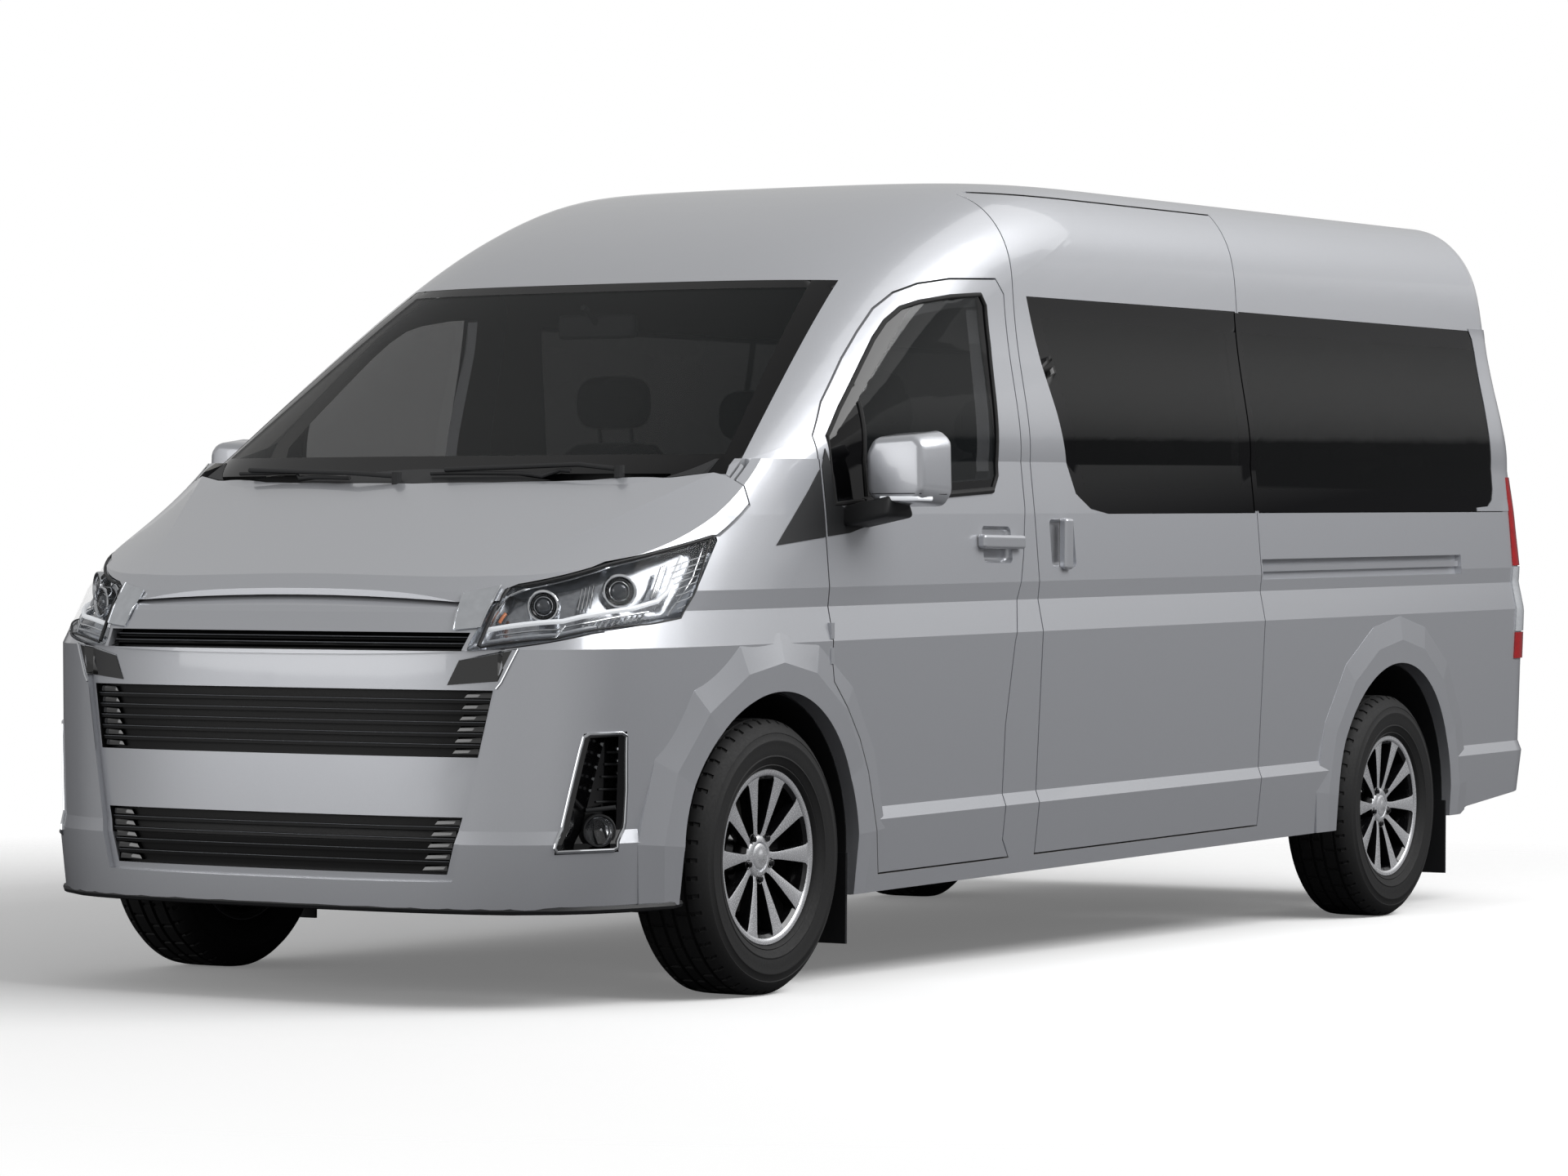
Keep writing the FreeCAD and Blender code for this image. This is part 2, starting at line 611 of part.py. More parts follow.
def mirror():
    """Door mirror: a rounded housing on a short arm that meets the door's skin."""
    housing = Part.makeBox(125, 200, 180, vec(1560, 985, 1258))
    housing = housing.makeFillet(40, housing.Edges)
    arm = box(1590, 1670, 880, 1030, 1242, 1290)
    return housing.fuse(arm.cut(outer))


mirror_left = mirror()
keep("left_mirror", mirror_left)
keep("right_mirror", mirrored(mirror_left))

# Structure below and behind the panels.
FLOOR = size("floor_top")
SLAB = FLOOR - size("floor_thick")
FIREWALL_X = 1600
RAIL_HALF = 440
RAIL_INNER = 380
RAIL_LOW = 430
SHELF = 860
HOUSE_HALF = 660
HOUSE_TOP = 835
SILL_INNER = 800


def floor_pan():
    wall = 14
    slab = box(-2870, FIREWALL_X, -872, 872, SLAB, FLOOR)
    house_x0 = REAR_AXLE - size("rear_arch") - 22
    house_x1 = REAR_AXLE + size("rear_arch") + 22
    pieces = []
    for side_sign in (1, -1):
        room = box(house_x0, house_x1, HOUSE_HALF, 945, 100, HOUSE_TOP)
        cover = box(house_x0 - wall, house_x1 + wall, HOUSE_HALF - wall, 930, SLAB, HOUSE_TOP + wall)
        rail = box(-2960, 2960, RAIL_INNER, RAIL_HALF, RAIL_LOW, SLAB)
        web = box(-1325, 1480, SILL_INNER, SILL_INNER + 30, 262, SLAB)
        pad = box(-1150, -1070, RAIL_INNER, RAIL_HALF, 400, RAIL_LOW)
        flange = side_prism([(-1325, 236), (1480, 236), (1480, 275), (-1325, 275)],
                            SILL_INNER, 960)
        if side_sign < 0:
            room, cover, rail, web, flange, pad = [mirrored(x) for x in (room, cover, rail, web, flange, pad)]
        slab = slab.cut(room)
        pieces += [cover.cut(room), rail, web, flange, pad]
    return largest(slab.fuse(pieces).common(inner))


def cowl():
    """Bulkhead, shelf and the black strip between bonnet and windscreen."""
    skin = 25
    strip = outer.common(box(1950, 2400, -795, 795, 1150, 1500)).cut(ahead_of_cowl(GAP))
    strip = strip.cut(glasshouse(0)).cut(bonnet_form(skin))
    wall = side_prism([(FIREWALL_X, SLAB), (FIREWALL_X, SHELF), (2080, SHELF), (2125, 1300), (2195, 1340),
                       (2110, SHELF - 30), (FIREWALL_X + 30, SHELF - 30), (FIREWALL_X + 30, SLAB)],
                      -862, 862, raked=False)
    wall = wall.common(inner).cut(arches).cut(bonnet_room)
    wall = wall.cut(arm_room).cut(mirrored(arm_room))
    return wall.fuse(strip)


COLUMN_RADIUS = 28
COLUMN_PLACE = FreeCAD.Placement(vec(1385, -430, 1100),
                                 FreeCAD.Rotation(vec(0, 1, 0), size("steering_tilt") - 90))


def dashboard():
    profile = [(1500, 780), (1478, 900), (1515, 1060), (1640, 1135), (2040, 1205), (2085, 1205),
               (2085, 1150), (2078, SHELF + SEAT), (FIREWALL_X - SEAT, SHELF + SEAT),
               (FIREWALL_X - SEAT, 780)]
    panel = side_prism(profile, -855, 855, raked=False).common(inner)
    hood = side_prism([(1500, 1130), (1530, 1195), (1700, 1190), (1760, 1120)], -600, -260, raked=False)
    stack_face = side_prism([(1462, 790), (1440, 900), (1478, 1130), (1600, 1160), (1600, 790)], -150, 150,
                            raked=False)
    panel = panel.fuse([hood, stack_face])
    bore = Part.makeCylinder(COLUMN_RADIUS + SEAT, 200, vec(0, 0, -152))
    bore.Placement = COLUMN_PLACE
    return panel.cut(bore)


def seat(x0, y0, width, floor):
    """One seat: pedestal between the wheel housings, cushion, leaning back and headrest."""
    reach = HOUSE_HALF - 30
    depth = 480
    cushion_top = 985
    back_lean = 110
    pedestal = box(x0 + 60, x0 + depth - 60, max(y0 + 50, -reach), min(y0 + width - 50, reach),
                   floor + SEAT, cushion_top - 110)
    cushion = box(x0, x0 + depth, y0, y0 + width, cushion_top - 120, cushion_top)
    cushion = cushion.makeFillet(25, cushion.Edges)
    back = side_prism([(x0, cushion_top - 60), (x0 + 110, cushion_top - 60),
                       (x0 + 110 - back_lean, 1500), (x0 - back_lean + 20, 1500)],
                      y0, y0 + width, raked=False)
    rest = side_prism([(x0 - back_lean + 10, 1490), (x0 + 95 - back_lean, 1490),
                       (x0 + 80 - back_lean, 1680), (x0 - back_lean + 5, 1680)],
                      y0 + width / 2 - 125, y0 + width / 2 + 125, raked=False)
    rest = rest.makeFillet(22, rest.Edges)
    return pedestal.fuse([cushion, back, rest])


def front_seats():
    width = size("seat_width")
    left = seat(760, 430 - width / 2, width, FLOOR)
    return Part.makeCompound([left, mirrored(left)])


def rear_seats():
    width = size("seat_width")
    seats = []
    for row in range(int(size("row_count"))):
        x0 = -330 - row * size("seat_pitch")
        for y0 in (610 - width / 2, -610 - width / 2, -610 + width / 2 + 6):
            seats.append(seat(x0, y0, width - 6, FLOOR))
    return Part.makeCompound(seats)


keep("floor_pan", floor_pan())
keep("cowl", cowl())
keep("dashboard", dashboard())
keep("front_seats", front_seats())
keep("rear_seats", rear_seats())


def mud_flaps():
    thick = 9
    front_x = FRONT_AXLE - size("front_arch") + SEAT
    rear_x = REAR_AXLE - size("rear_arch") + SEAT
    front = box(front_x, front_x + thick, 800, 928, 110, 350)
    rear = box(rear_x, rear_x + thick, 800, 940, 120, 360)
    return Part.makeCompound([front, mirrored(front), rear, mirrored(rear)])


keep("mud_flaps", mud_flaps())


ENGINE_LOW = 375
ARM_WIDE = 18
LOW_ARM_TOP = 238
HIGH_ARM_LOW = 485


def front_crossmember():
    """Beam under the rails with the arms that carry the knuckles."""
    beam = box(FRONT_AXLE - 48, FRONT_AXLE + 48, -470, 470, 235, 300)
    arm_end = size("kingpin_half") + 14
    post = box(FRONT_AXLE - 30, FRONT_AXLE + 30, RAIL_INNER + 5, RAIL_HALF - 5, 290, RAIL_LOW - SEAT)
    arm = box(FRONT_AXLE - ARM_WIDE, FRONT_AXLE + ARM_WIDE, 440, arm_end, 200, LOW_ARM_TOP)
    pieces = [post, arm, mirrored(post), mirrored(arm)]
    for y in (-250, 190):
        pieces.append(box(FRONT_AXLE - 30, FRONT_AXLE + 30, y, y + 60, 290, ENGINE_LOW - SEAT))
    lower = beam.fuse(pieces)
    upper = box(FRONT_AXLE - ARM_WIDE, FRONT_AXLE + ARM_WIDE, RAIL_HALF + SEAT, arm_end, HIGH_ARM_LOW, 510)
    return Part.makeCompound([lower, upper, mirrored(upper)])


def knuckle():
    """Upright between the two arms, with the wheel's spindle and brake disc."""
    pin_y = size("kingpin_half")
    axle_z = size("tyre_radius")
    post = Part.makeCylinder(20, HIGH_ARM_LOW - LOW_ARM_TOP - 2 * SEAT,
                             vec(FRONT_AXLE, pin_y, LOW_ARM_TOP + SEAT))
    spindle = Part.makeCylinder(size("spindle_radius"), size("front_track") / 2 + 55 - pin_y,
                                vec(FRONT_AXLE, pin_y, axle_z), vec(0, 1, 0))
    disc = Part.makeCylinder(145, 6, vec(FRONT_AXLE, pin_y + 27, axle_z), vec(0, 1, 0))
    return post.fuse([spindle, disc])


def rear_axle():
    axle_z = size("tyre_radius")
    half = size("rear_track") / 2
    tube = Part.makeCylinder(42, 2 * (half - 60), vec(REAR_AXLE, 60 - half, axle_z), vec(0, 1, 0))
    spindle = Part.makeCylinder(size("spindle_radius"), 2 * (half + 55), vec(REAR_AXLE, -half - 55, axle_z),
                                vec(0, 1, 0))
    case = Part.makeSphere(120, vec(REAR_AXLE, 0, axle_z))
    pieces = [spindle, case]
    for sign in (1, -1):
        leaf = box(REAR_AXLE - 600, REAR_AXLE + 600, 500, 560, 385, 418)
        hanger_front = box(REAR_AXLE + 570, REAR_AXLE + 600, 500, 560, 400, SLAB - SEAT)
        hanger_rear = box(REAR_AXLE - 600, REAR_AXLE - 570, 500, 560, 400, SLAB - SEAT)
        group = [leaf, hanger_front, hanger_rear]
        pieces += group if sign > 0 else [mirrored(x) for x in group]
    return tube.fuse(pieces)


knuckle_left = knuckle()
keep("front_crossmember", front_crossmember())
keep("left_knuckle", knuckle_left)
keep("right_knuckle", mirrored(knuckle_left))
keep("rear_axle", rear_axle())

# Wheels: turned bodies about the Y axis, drawn as half sections in radius and width.


def origin_plane(body, role):
    return next(item for item in body.Origin.OriginFeatures if item.Role == role)


def polygon_sketch(body, name, role, points):
    """A closed outline whose corners are held by expressions of the sheet."""
    sketch = body.newObject("Sketcher::SketchObject", name)
    sketch.AttachmentSupport = [(origin_plane(body, role), "")]
    sketch.MapMode = "FlatFace"
    count = len(points)
    for number, (u, v) in enumerate(points):
        u2, v2 = points[(number + 1) % count]
        sketch.addGeometry(Part.LineSegment(vec(value(u), value(v), 0), vec(value(u2), value(v2), 0)), False)
    for number in range(count):
        sketch.addConstraint(Sketcher.Constraint("Coincident", number, 2, (number + 1) % count, 1))
    for number, (u, v) in enumerate(points):
        for kind, formula in (("DistanceX", u), ("DistanceY", v)):
            index = sketch.addConstraint(Sketcher.Constraint(kind, number, 1, value(formula)))
            sketch.setExpression(f"Constraints[{index}]", bound(formula))
    return sketch


def value(formula):
    """A formula of sheet names worked out as a number."""
    total = 0.0
    for term in formula.split(" + "):
        name, _, factor = term.partition(" * ")
        amount = size(name) if name[0].isalpha() else float(name)
        total += amount * (float(factor) if factor else 1.0)
    return total


def bound(formula):
    terms = []
    for term in formula.split(" + "):
        name, _, factor = term.partition(" * ")
        name = f"Sizes.{name}" if name[0].isalpha() else name
        terms.append(f"{name} * {factor}" if factor else name)
    return " + ".join(terms)


RIM_PROFILE = [
    ("spindle_radius + seat_gap", "10"), ("72", "10"), ("80", "36"), ("rim_radius + -52", "30"),
    ("rim_radius + -44", "rim_width * -0.5 + 4"), ("rim_radius", "rim_width * -0.5"),
    ("rim_radius", "rim_width * -0.5 + 12"), ("rim_radius + -26", "rim_width * -0.5 + 24"),
    ("rim_radius + -26", "rim_width * 0.5 + -24"), ("rim_radius", "rim_width * 0.5 + -12"),
    ("rim_radius", "rim_width * 0.5"), ("rim_radius + -18", "rim_width * 0.5 + -4"),
    ("rim_radius + -34", "66"), ("85", "54"), ("70", "62"), ("spindle_radius + seat_gap", "62"),
]
TYRE_PROFILE = [
    ("rim_radius + 0.3", "rim_width * 0.5 + -2"), ("rim_radius + 22", "tyre_width * 0.5 + -8"),
    ("rim_radius + 60", "tyre_width * 0.5"), ("rim_radius + 96", "tyre_width * 0.5 + -7"),
    ("tyre_radius + -10", "tyre_width * 0.5 + -20"), ("tyre_radius + -2", "tyre_width * 0.5 + -36"),
    ("tyre_radius", "tyre_width * 0.5 + -62"),
    ("tyre_radius", "tyre_width * -0.5 + 62"), ("tyre_radius + -2", "tyre_width * -0.5 + 36"),
    ("tyre_radius + -10", "tyre_width * -0.5 + 20"), ("rim_radius + 96", "tyre_width * -0.5 + 7"),
    ("rim_radius + 60", "tyre_width * -0.5"), ("rim_radius + 22", "tyre_width * -0.5 + 8"),
    ("rim_radius + 0.3", "rim_width * -0.5 + 2"),
]


def turned(label, profile):
    body = doc.addObject("PartDesign::Body", label)
    sketch = polygon_sketch(body, label + "_section", "XY_Plane", profile)
    turn = body.newObject("PartDesign::Revolution", label + "_turn")
    turn.Profile = sketch
    turn.ReferenceAxis = (sketch, ["V_Axis"])
    turn.Angle = 360
    doc.recompute()
    return body, turn


def rim(label):
    body, _ = turned(label, RIM_PROFILE)
    window = polygon_sketch(body, label + "_window", "XZ_Plane", [
        ("-7", "92"), ("7", "92"), ("36", "rim_radius + -44"), ("-36", "rim_radius + -44")])
    pocket = body.newObject("PartDesign::Pocket", label + "_pocket")
    pocket.Profile = window
    pocket.Type = 1
    pocket.Midplane = True
    pocket.Length = 400
    doc.recompute()
    ring = body.newObject("PartDesign::PolarPattern", label + "_spokes")
    ring.Originals = [pocket]
    ring.Axis = (origin_plane(body, "Y_Axis"), [""])
    ring.Angle = 360
    ring.Occurrences = int(size("spoke_count"))
    ring.setExpression("Occurrences", "Sizes.spoke_count")
    body.Tip = ring
    doc.recompute()
    return body


WHEELS = [("front_left", FRONT_AXLE, size("front_track") / 2),
          ("front_right", FRONT_AXLE, -size("front_track") / 2),
          ("rear_left", REAR_AXLE, size("rear_track") / 2),
          ("rear_right", REAR_AXLE, -size("rear_track") / 2)]
for place, axle_x, axle_y in WHEELS:
    turn = 0 if axle_y > 0 else 180
    where = FreeCAD.Placement(vec(axle_x, axle_y, size("tyre_radius")),
                              FreeCAD.Rotation(vec(0, 0, 1), turn))
    rim_body = rim(f"{place}_rim")
    tyre_body, _ = turned(f"{place}_tyre", TYRE_PROFILE)
    for body in (rim_body, tyre_body):
        body.Placement = where
        NODES.append(body)

# Plain heavy pieces as primitives bound to the sheet.


def block(label, corner, **lengths):
    item = doc.addObject("Part::Box", label)
    for name, formula in lengths.items():
        item.setExpression(name, bound(formula))
    item.Placement = FreeCAD.Placement(vec(*corner), FreeCAD.Rotation())
    NODES.append(item)
    return item


block("engine", (1720, -320, ENGINE_LOW), Length="720", Width="640", Height="430")
block("fuel_tank", (-950, 470, 285), Length="800", Width="310",
      Height="floor_top + floor_thick * -1 + -285.3")
shaft = Part.makeCylinder(32, 1700 - REAR_AXLE - 118, vec(REAR_AXLE + 118.4, 0, 400), vec(1, 0, 0))
shaft = shaft.cut(Part.makeSphere(120 + SEAT, vec(REAR_AXLE, 0, size("tyre_radius"))))
gearbox = box(1080, 1720 - SEAT, -150, 150, 330, 470)
silencer_radius = 75
pipe_z = SLAB - SEAT - silencer_radius
pipe = Part.makeCylinder(26, 4100, vec(-2700, -250, pipe_z), vec(1, 0, 0))
silencer = Part.makeCylinder(silencer_radius, 600, vec(-900, -250, pipe_z), vec(1, 0, 0))
keep("driveline", Part.makeCompound([gearbox.fuse(shaft), pipe.fuse(silencer)]))


def steering_wheel():
    """Ring, hub and three spokes on a column, in the wheel's own plane."""
    ring = Part.makeTorus(size("wheel_diameter") / 2 - 15, 15)
    hub = Part.makeCylinder(62, 40, vec(0, 0, -30))
    reach = size("wheel_diameter") / 2 - 15
    spoke = Part.makeBox(2 * reach, 40, 14, vec(-reach, -20, -12))
    stalk = Part.makeBox(40, reach, 14, vec(-20, -reach, -12))
    column = Part.makeCylinder(COLUMN_RADIUS, 150, vec(0, 0, -150))
    return ring.fuse([hub, spoke, stalk, column])


keep("steering_wheel", steering_wheel(), COLUMN_PLACE)

doc.recompute()
for node in NODES:
    if "Invalid" in node.State or "Error" in node.State:
        raise RuntimeError(f"{node.Label} failed: {node.State}")
    if node.Shape.isNull() or not node.Shape.isValid():
        raise RuntimeError(f"{node.Label} has no valid shape")
for node in NODES:
    node.Shape.exportStep(f"parts/{node.Label}.step")
print(len(NODES), "sub-parts", sum(len(node.Shape.Solids) for node in NODES), "solids")
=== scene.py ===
import math

import bpy
from mathutils import Matrix, Vector
from mathutils.bvhtree import BVHTree


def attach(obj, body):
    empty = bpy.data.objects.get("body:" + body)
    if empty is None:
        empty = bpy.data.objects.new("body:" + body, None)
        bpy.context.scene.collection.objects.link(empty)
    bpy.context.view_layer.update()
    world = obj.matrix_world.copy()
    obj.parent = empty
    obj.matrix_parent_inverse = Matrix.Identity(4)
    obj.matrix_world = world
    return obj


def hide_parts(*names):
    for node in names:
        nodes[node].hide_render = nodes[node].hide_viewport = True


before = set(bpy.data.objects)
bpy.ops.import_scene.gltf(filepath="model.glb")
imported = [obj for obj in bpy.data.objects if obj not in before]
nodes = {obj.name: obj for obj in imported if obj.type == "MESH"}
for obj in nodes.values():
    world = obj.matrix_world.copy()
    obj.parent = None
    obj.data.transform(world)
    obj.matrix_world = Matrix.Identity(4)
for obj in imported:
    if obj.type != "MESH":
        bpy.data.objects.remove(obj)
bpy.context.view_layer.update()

scene = bpy.context.scene

# Places of the vehicle, in metres. Body heights are measured at the front axle: the body leans nose down.
FRONT_AXLE = 2.0675
REAR_AXLE = -1.7925
FRONT_TRACK = 0.8375
REAR_TRACK = 0.835
TYRE_RADIUS = 0.356
RAKE = 0.0178
FRONT_X = 2.9575
BACK_X = -2.9


def level(x, z):
    """Height above the ground of a body height at a place along the vehicle."""
    return z + RAKE * (FRONT_AXLE - x)


# Finishes.
def linear(colour):
    """Colour as seen on a screen, from 0 to 255, turned to the shader's scale."""
    scaled = [value / 255 for value in colour]
    return [value / 12.92 if value < 0.04 else ((value + 0.055) / 1.055) ** 2.4 for value in scaled] + [1]


def set_inputs(node, **values):
    """Set inputs of a shader node; an underscore stands for a space in an input's name."""
    for name, value in values.items():
        node.inputs[name.replace("_", " ")].default_value = value


def add_node(tree, kind, **values):
    node = tree.nodes.new("ShaderNode" + kind)
    set_inputs(node, **values)
    return node


def link(tree, source, output, target, entry):
    tree.links.new(source.outputs[output], target.inputs[entry])


COAT_ROUGHNESS = 0.03
GRAIN_DETAIL = 4


def finish(name, colour, spread, scale, roughness, rough_spread, bump=0.0, bump_size=0.001, metallic=0.0,
           coat=0.0, alpha=1.0, ior=1.5, sheen=0.0, glow=0.0, stretch=(1, 1, 1)):
    """A material with fine colour, gloss and surface variation taken from its place on the vehicle."""
    material = bpy.data.materials.new(name)
    material.use_nodes = True
    tree = material.node_tree
    shader = tree.nodes["Principled BSDF"]
    place = add_node(tree, "TexCoord")
    mapping = add_node(tree, "Mapping", Scale=stretch)
    grain = add_node(tree, "TexNoise", Scale=scale, Detail=GRAIN_DETAIL)
    link(tree, place, "Object", mapping, "Vector")
    link(tree, mapping, "Vector", grain, "Vector")
    ramp = add_node(tree, "ValToRGB")
    base = linear(colour)
    for stop, position, factor in zip(ramp.color_ramp.elements, (0.3, 0.7), (1 - spread, 1 + spread)):
        stop.position = position
        stop.color = [min(1, value * factor) for value in base[:3]] + [1]
    link(tree, grain, "Fac", ramp, "Fac")
    link(tree, ramp, "Color", shader, "Base Color")
    gloss = add_node(tree, "MapRange", To_Min=max(0.0, roughness * (1 - rough_spread)),
                     To_Max=min(1.0, roughness * (1 + rough_spread)))
    link(tree, grain, "Fac", gloss, "Value")
    link(tree, gloss, "Result", shader, "Roughness")
    if bump:
        relief = add_node(tree, "Bump", Strength=bump, Distance=bump_size)
        link(tree, grain, "Fac", relief, "Height")
        link(tree, relief, "Normal", shader, "Normal")
    set_inputs(shader, Metallic=metallic, Coat_Weight=coat, Coat_Roughness=COAT_ROUGHNESS, IOR=ior,
               Alpha=alpha, Sheen_Weight=sheen)
    if glow:
        set_inputs(shader, Emission_Color=base, Emission_Strength=glow)
    return material


# Each finish: name, colour, how far the colour varies, grain, roughness and how far it varies.
silver = finish("silver_paint", (190, 192, 197), 0.05, 900, 0.32, 0.12, bump=0.04, bump_size=0.0002,
                metallic=0.50, coat=0.9)
chrome = finish("chrome", (205, 207, 210), 0.03, 60, 0.08, 0.3, metallic=1.0)
dark_chrome = finish("dark_chrome", (205, 208, 212), 0.06, 30, 0.07, 0.3, metallic=1.0)
satin = finish("satin_chrome", (120, 122, 126), 0.08, 60, 0.25, 0.3, metallic=0.9)
machined = finish("machined_alloy", (222, 223, 226), 0.06, 300, 0.26, 0.3, bump=0.05, bump_size=0.0002,
                  metallic=0.6, coat=0.3, stretch=(1, 6, 1))
black_alloy = finish("black_alloy", (20, 20, 22), 0.2, 90, 0.25, 0.3, metallic=0.4, coat=0.6)
rubber = finish("tyre_rubber", (13, 13, 14), 0.15, 150, 0.75, 0.15, bump=0.25, bump_size=0.0006)
black_plastic = finish("grained_black_plastic", (26, 27, 29), 0.15, 700, 0.55, 0.15, bump=0.3,
                       bump_size=0.0004)
gloss_black = finish("gloss_black", (9, 9, 10), 0.2, 60, 0.08, 0.3, coat=0.8)
# The grille is darkened to nearly nought: partly its black plastic, partly painted shade of the deep
# openings behind the slats.
grille_black_and_painted_shade = finish("grille_black_and_painted_shade", (4, 4, 5), 0.2, 200, 0.4, 0.2, ior=1.3)
clear_glass = finish("windscreen_glass", (20, 24, 25), 0.05, 8, 0.02, 0.2, alpha=0.34, ior=1.36)
door_glass = finish("door_glass", (18, 21, 22), 0.05, 8, 0.02, 0.2, alpha=0.62, ior=1.36)
privacy_glass = finish("privacy_glass", (7, 8, 8), 0.05, 8, 0.02, 0.2, alpha=0.86, ior=1.33)
printed = finish("printed_glass_border", (5, 5, 6), 0.2, 60, 0.03, 0.2, ior=1.3)
mirror_glass = finish("mirror_glass", (150, 154, 160), 0.02, 20, 0.03, 0.2, metallic=1.0)
lamp_cover = finish("lamp_cover", (90, 93, 96), 0.01, 8, 0.02, 0.2, coat=0.2, alpha=0.06)
lamp_bowl = finish("lamp_bowl", (158, 161, 166), 0.15, 60, 0.2, 0.3, metallic=0.9)
lamp_eye = finish("lamp_eye", (66, 70, 76), 0.2, 60, 0.05, 0.2, metallic=0.4, coat=0.9)
guide_white = finish("light_guide", (236, 239, 243), 0.02, 60, 0.3, 0.2, glow=0.45)
clear_strip = finish("clear_strip", (176, 180, 186), 0.08, 90, 0.15, 0.3, coat=0.5)
clear_rib = finish("clear_rib", (200, 203, 207), 0.05, 60, 0.1, 0.2, alpha=0.55)
amber = finish("amber_lens", (226, 140, 96), 0.1, 60, 0.15, 0.2, glow=0.05)
lens_white = finish("clear_lens", (196, 199, 203), 0.08, 120, 0.12, 0.3, coat=0.8)
red_lens = finish("red_lens", (170, 8, 14), 0.12, 50, 0.08, 0.2, coat=0.8)
deep_red = finish("deep_red", (96, 4, 8), 0.1, 60, 0.15, 0.2, coat=0.6)
trim_grey = finish("cabin_trim", (158, 157, 154), 0.08, 400, 0.8, 0.1, bump=0.25, bump_size=0.0005)
dark_trim = finish("dark_trim", (38, 39, 41), 0.1, 500, 0.65, 0.15, bump=0.3, bump_size=0.0005)
carpet = finish("cabin_carpet", (46, 46, 47), 0.2, 900, 0.95, 0.05, bump=0.6)
cloth = finish("seat_cloth", (44, 45, 48), 0.22, 1200, 0.9, 0.08, bump=0.6, bump_size=0.0008, sheen=0.3)
cast_iron = finish("cast_iron", (52, 50, 48), 0.25, 80, 0.6, 0.3, bump=0.4, metallic=0.6)
under_steel = finish("under_steel", (40, 40, 41), 0.25, 50, 0.6, 0.2, bump=0.2, metallic=0.3)
exhaust_steel = finish("exhaust_steel", (110, 106, 100), 0.2, 70, 0.4, 0.3, bump=0.1, metallic=0.9)


def coat_node(name, *materials):
    """Put the given finishes in a node's slots; the first is used all over."""
    slots = nodes[name].data.materials
    slots.clear()
    for material in materials:
        slots.append(material)
    for face in nodes[name].data.polygons:
        face.material_index = 0


CABIN_REAR, CABIN_FRONT = -2.2, 1.2
CABIN_LOW, CABIN_HIGH = 0.9, 1.5
TURNED = 0.35


def looks_in(face):
    """Whether a face of a panel is turned to the middle of the cabin."""
    centre = face.center
    along = min(max(centre.x, CABIN_REAR), CABIN_FRONT)
    height = min(max(centre.z, CABIN_LOW), CABIN_HIGH)
    return face.normal.dot((Vector((along, 0, height)) - centre).normalized()) > TURNED


# Panels are paint outside and trim on the faces that look into the cabin.
for inside, names in (
        (trim_grey, "left_side right_side roof front_left_door front_right_door sliding_door tailgate "
                    "rear_bumper"),
        (under_steel, "front_fenders front_bumper upper_panel bonnet")):
    for name in names.split():
        coat_node(name, silver, inside)
        for face in nodes[name].data.polygons:
            face.material_index = 1 if looks_in(face) else 0

CORNERS = (("front_left", FRONT_AXLE, FRONT_TRACK), ("front_right", FRONT_AXLE, -FRONT_TRACK),
           ("rear_left", REAR_AXLE, REAR_TRACK), ("rear_right", REAR_AXLE, -REAR_TRACK))
for material, names in (
        (silver, "left_mirror right_mirror"), (clear_glass, "windscreen"), (grille_black_and_painted_shade, "grille"),
        (door_glass, "front_left_glass front_right_glass"),
        (privacy_glass, "side_glass sliding_door_glass tailgate_glass"),
        (gloss_black, "fog_lamps"), (black_plastic, "cowl fuel_tank mud_flaps"),
        (dark_trim, "dashboard steering_wheel"), (cloth, "front_seats rear_seats"),
        (cast_iron, "engine left_knuckle right_knuckle"), (exhaust_steel, "driveline"),
        (under_steel, "front_crossmember rear_axle")):
    for name in names.split():
        coat_node(name, material)
for corner, _, _ in CORNERS:
    coat_node(corner + "_rim", machined)
    coat_node(corner + "_tyre", rubber)
coat_node("headlamps", lamp_cover, lamp_bowl)
coat_node("tail_lamps", red_lens, dark_trim)
coat_node("floor_pan", under_steel, carpet)


# Modelling helpers: each piece starts as a drawn line or a primitive. CENTRE stands for a point on the axle.
CENTRE = 0.0001
NODE_WELD = 0.00002
PIECE_WELD = 0.00005


def only(*pieces):
    """Select just these pieces; the first is the active one."""
    bpy.ops.object.select_all(action="DESELECT")
    for piece in pieces:
        piece.select_set(True)
    bpy.context.view_layer.objects.active = pieces[0]


def enter():
    bpy.ops.object.mode_set(mode="EDIT")


def leave():
    bpy.ops.object.mode_set(mode="OBJECT")


def select_all(action="SELECT"):
    bpy.ops.mesh.select_all(action=action)


def opened(piece):
    """Enter edit mode on one piece, with all of it selected."""
    only(piece)
    enter()
    select_all()


def cut_at(place, normal, **clear):
    """Cut the open mesh along a plane."""
    select_all()
    bpy.ops.mesh.bisect(plane_co=place, plane_no=normal, **clear)


def drawn(name, points, closed=False):
    """A new piece drawn point by point; stays in edit mode with everything selected."""
    bpy.ops.object.select_all(action="DESELECT")
    bpy.ops.mesh.primitive_plane_add(size=0.01, location=(0, 0, 0))
    piece = bpy.context.object
    piece.name = name
    enter()
    bpy.ops.mesh.select_mode(type="VERT")
    select_all()
    bpy.ops.mesh.merge(type="CENTER")
    bpy.ops.transform.translate(value=points[0])
    for start, end in zip(points, points[1:]):
        bpy.ops.mesh.extrude_vertices_move(TRANSFORM_OT_translate={"value": Vector(end) - Vector(start)})
    select_all()
    if closed:
        bpy.ops.mesh.edge_face_add()
    return piece


def close_up():
    """Weld the open mesh, turn its faces outward and leave edit mode."""
    select_all()
    bpy.ops.mesh.remove_doubles(threshold=PIECE_WELD)
    bpy.ops.mesh.normals_make_consistent(inside=False)
    leave()


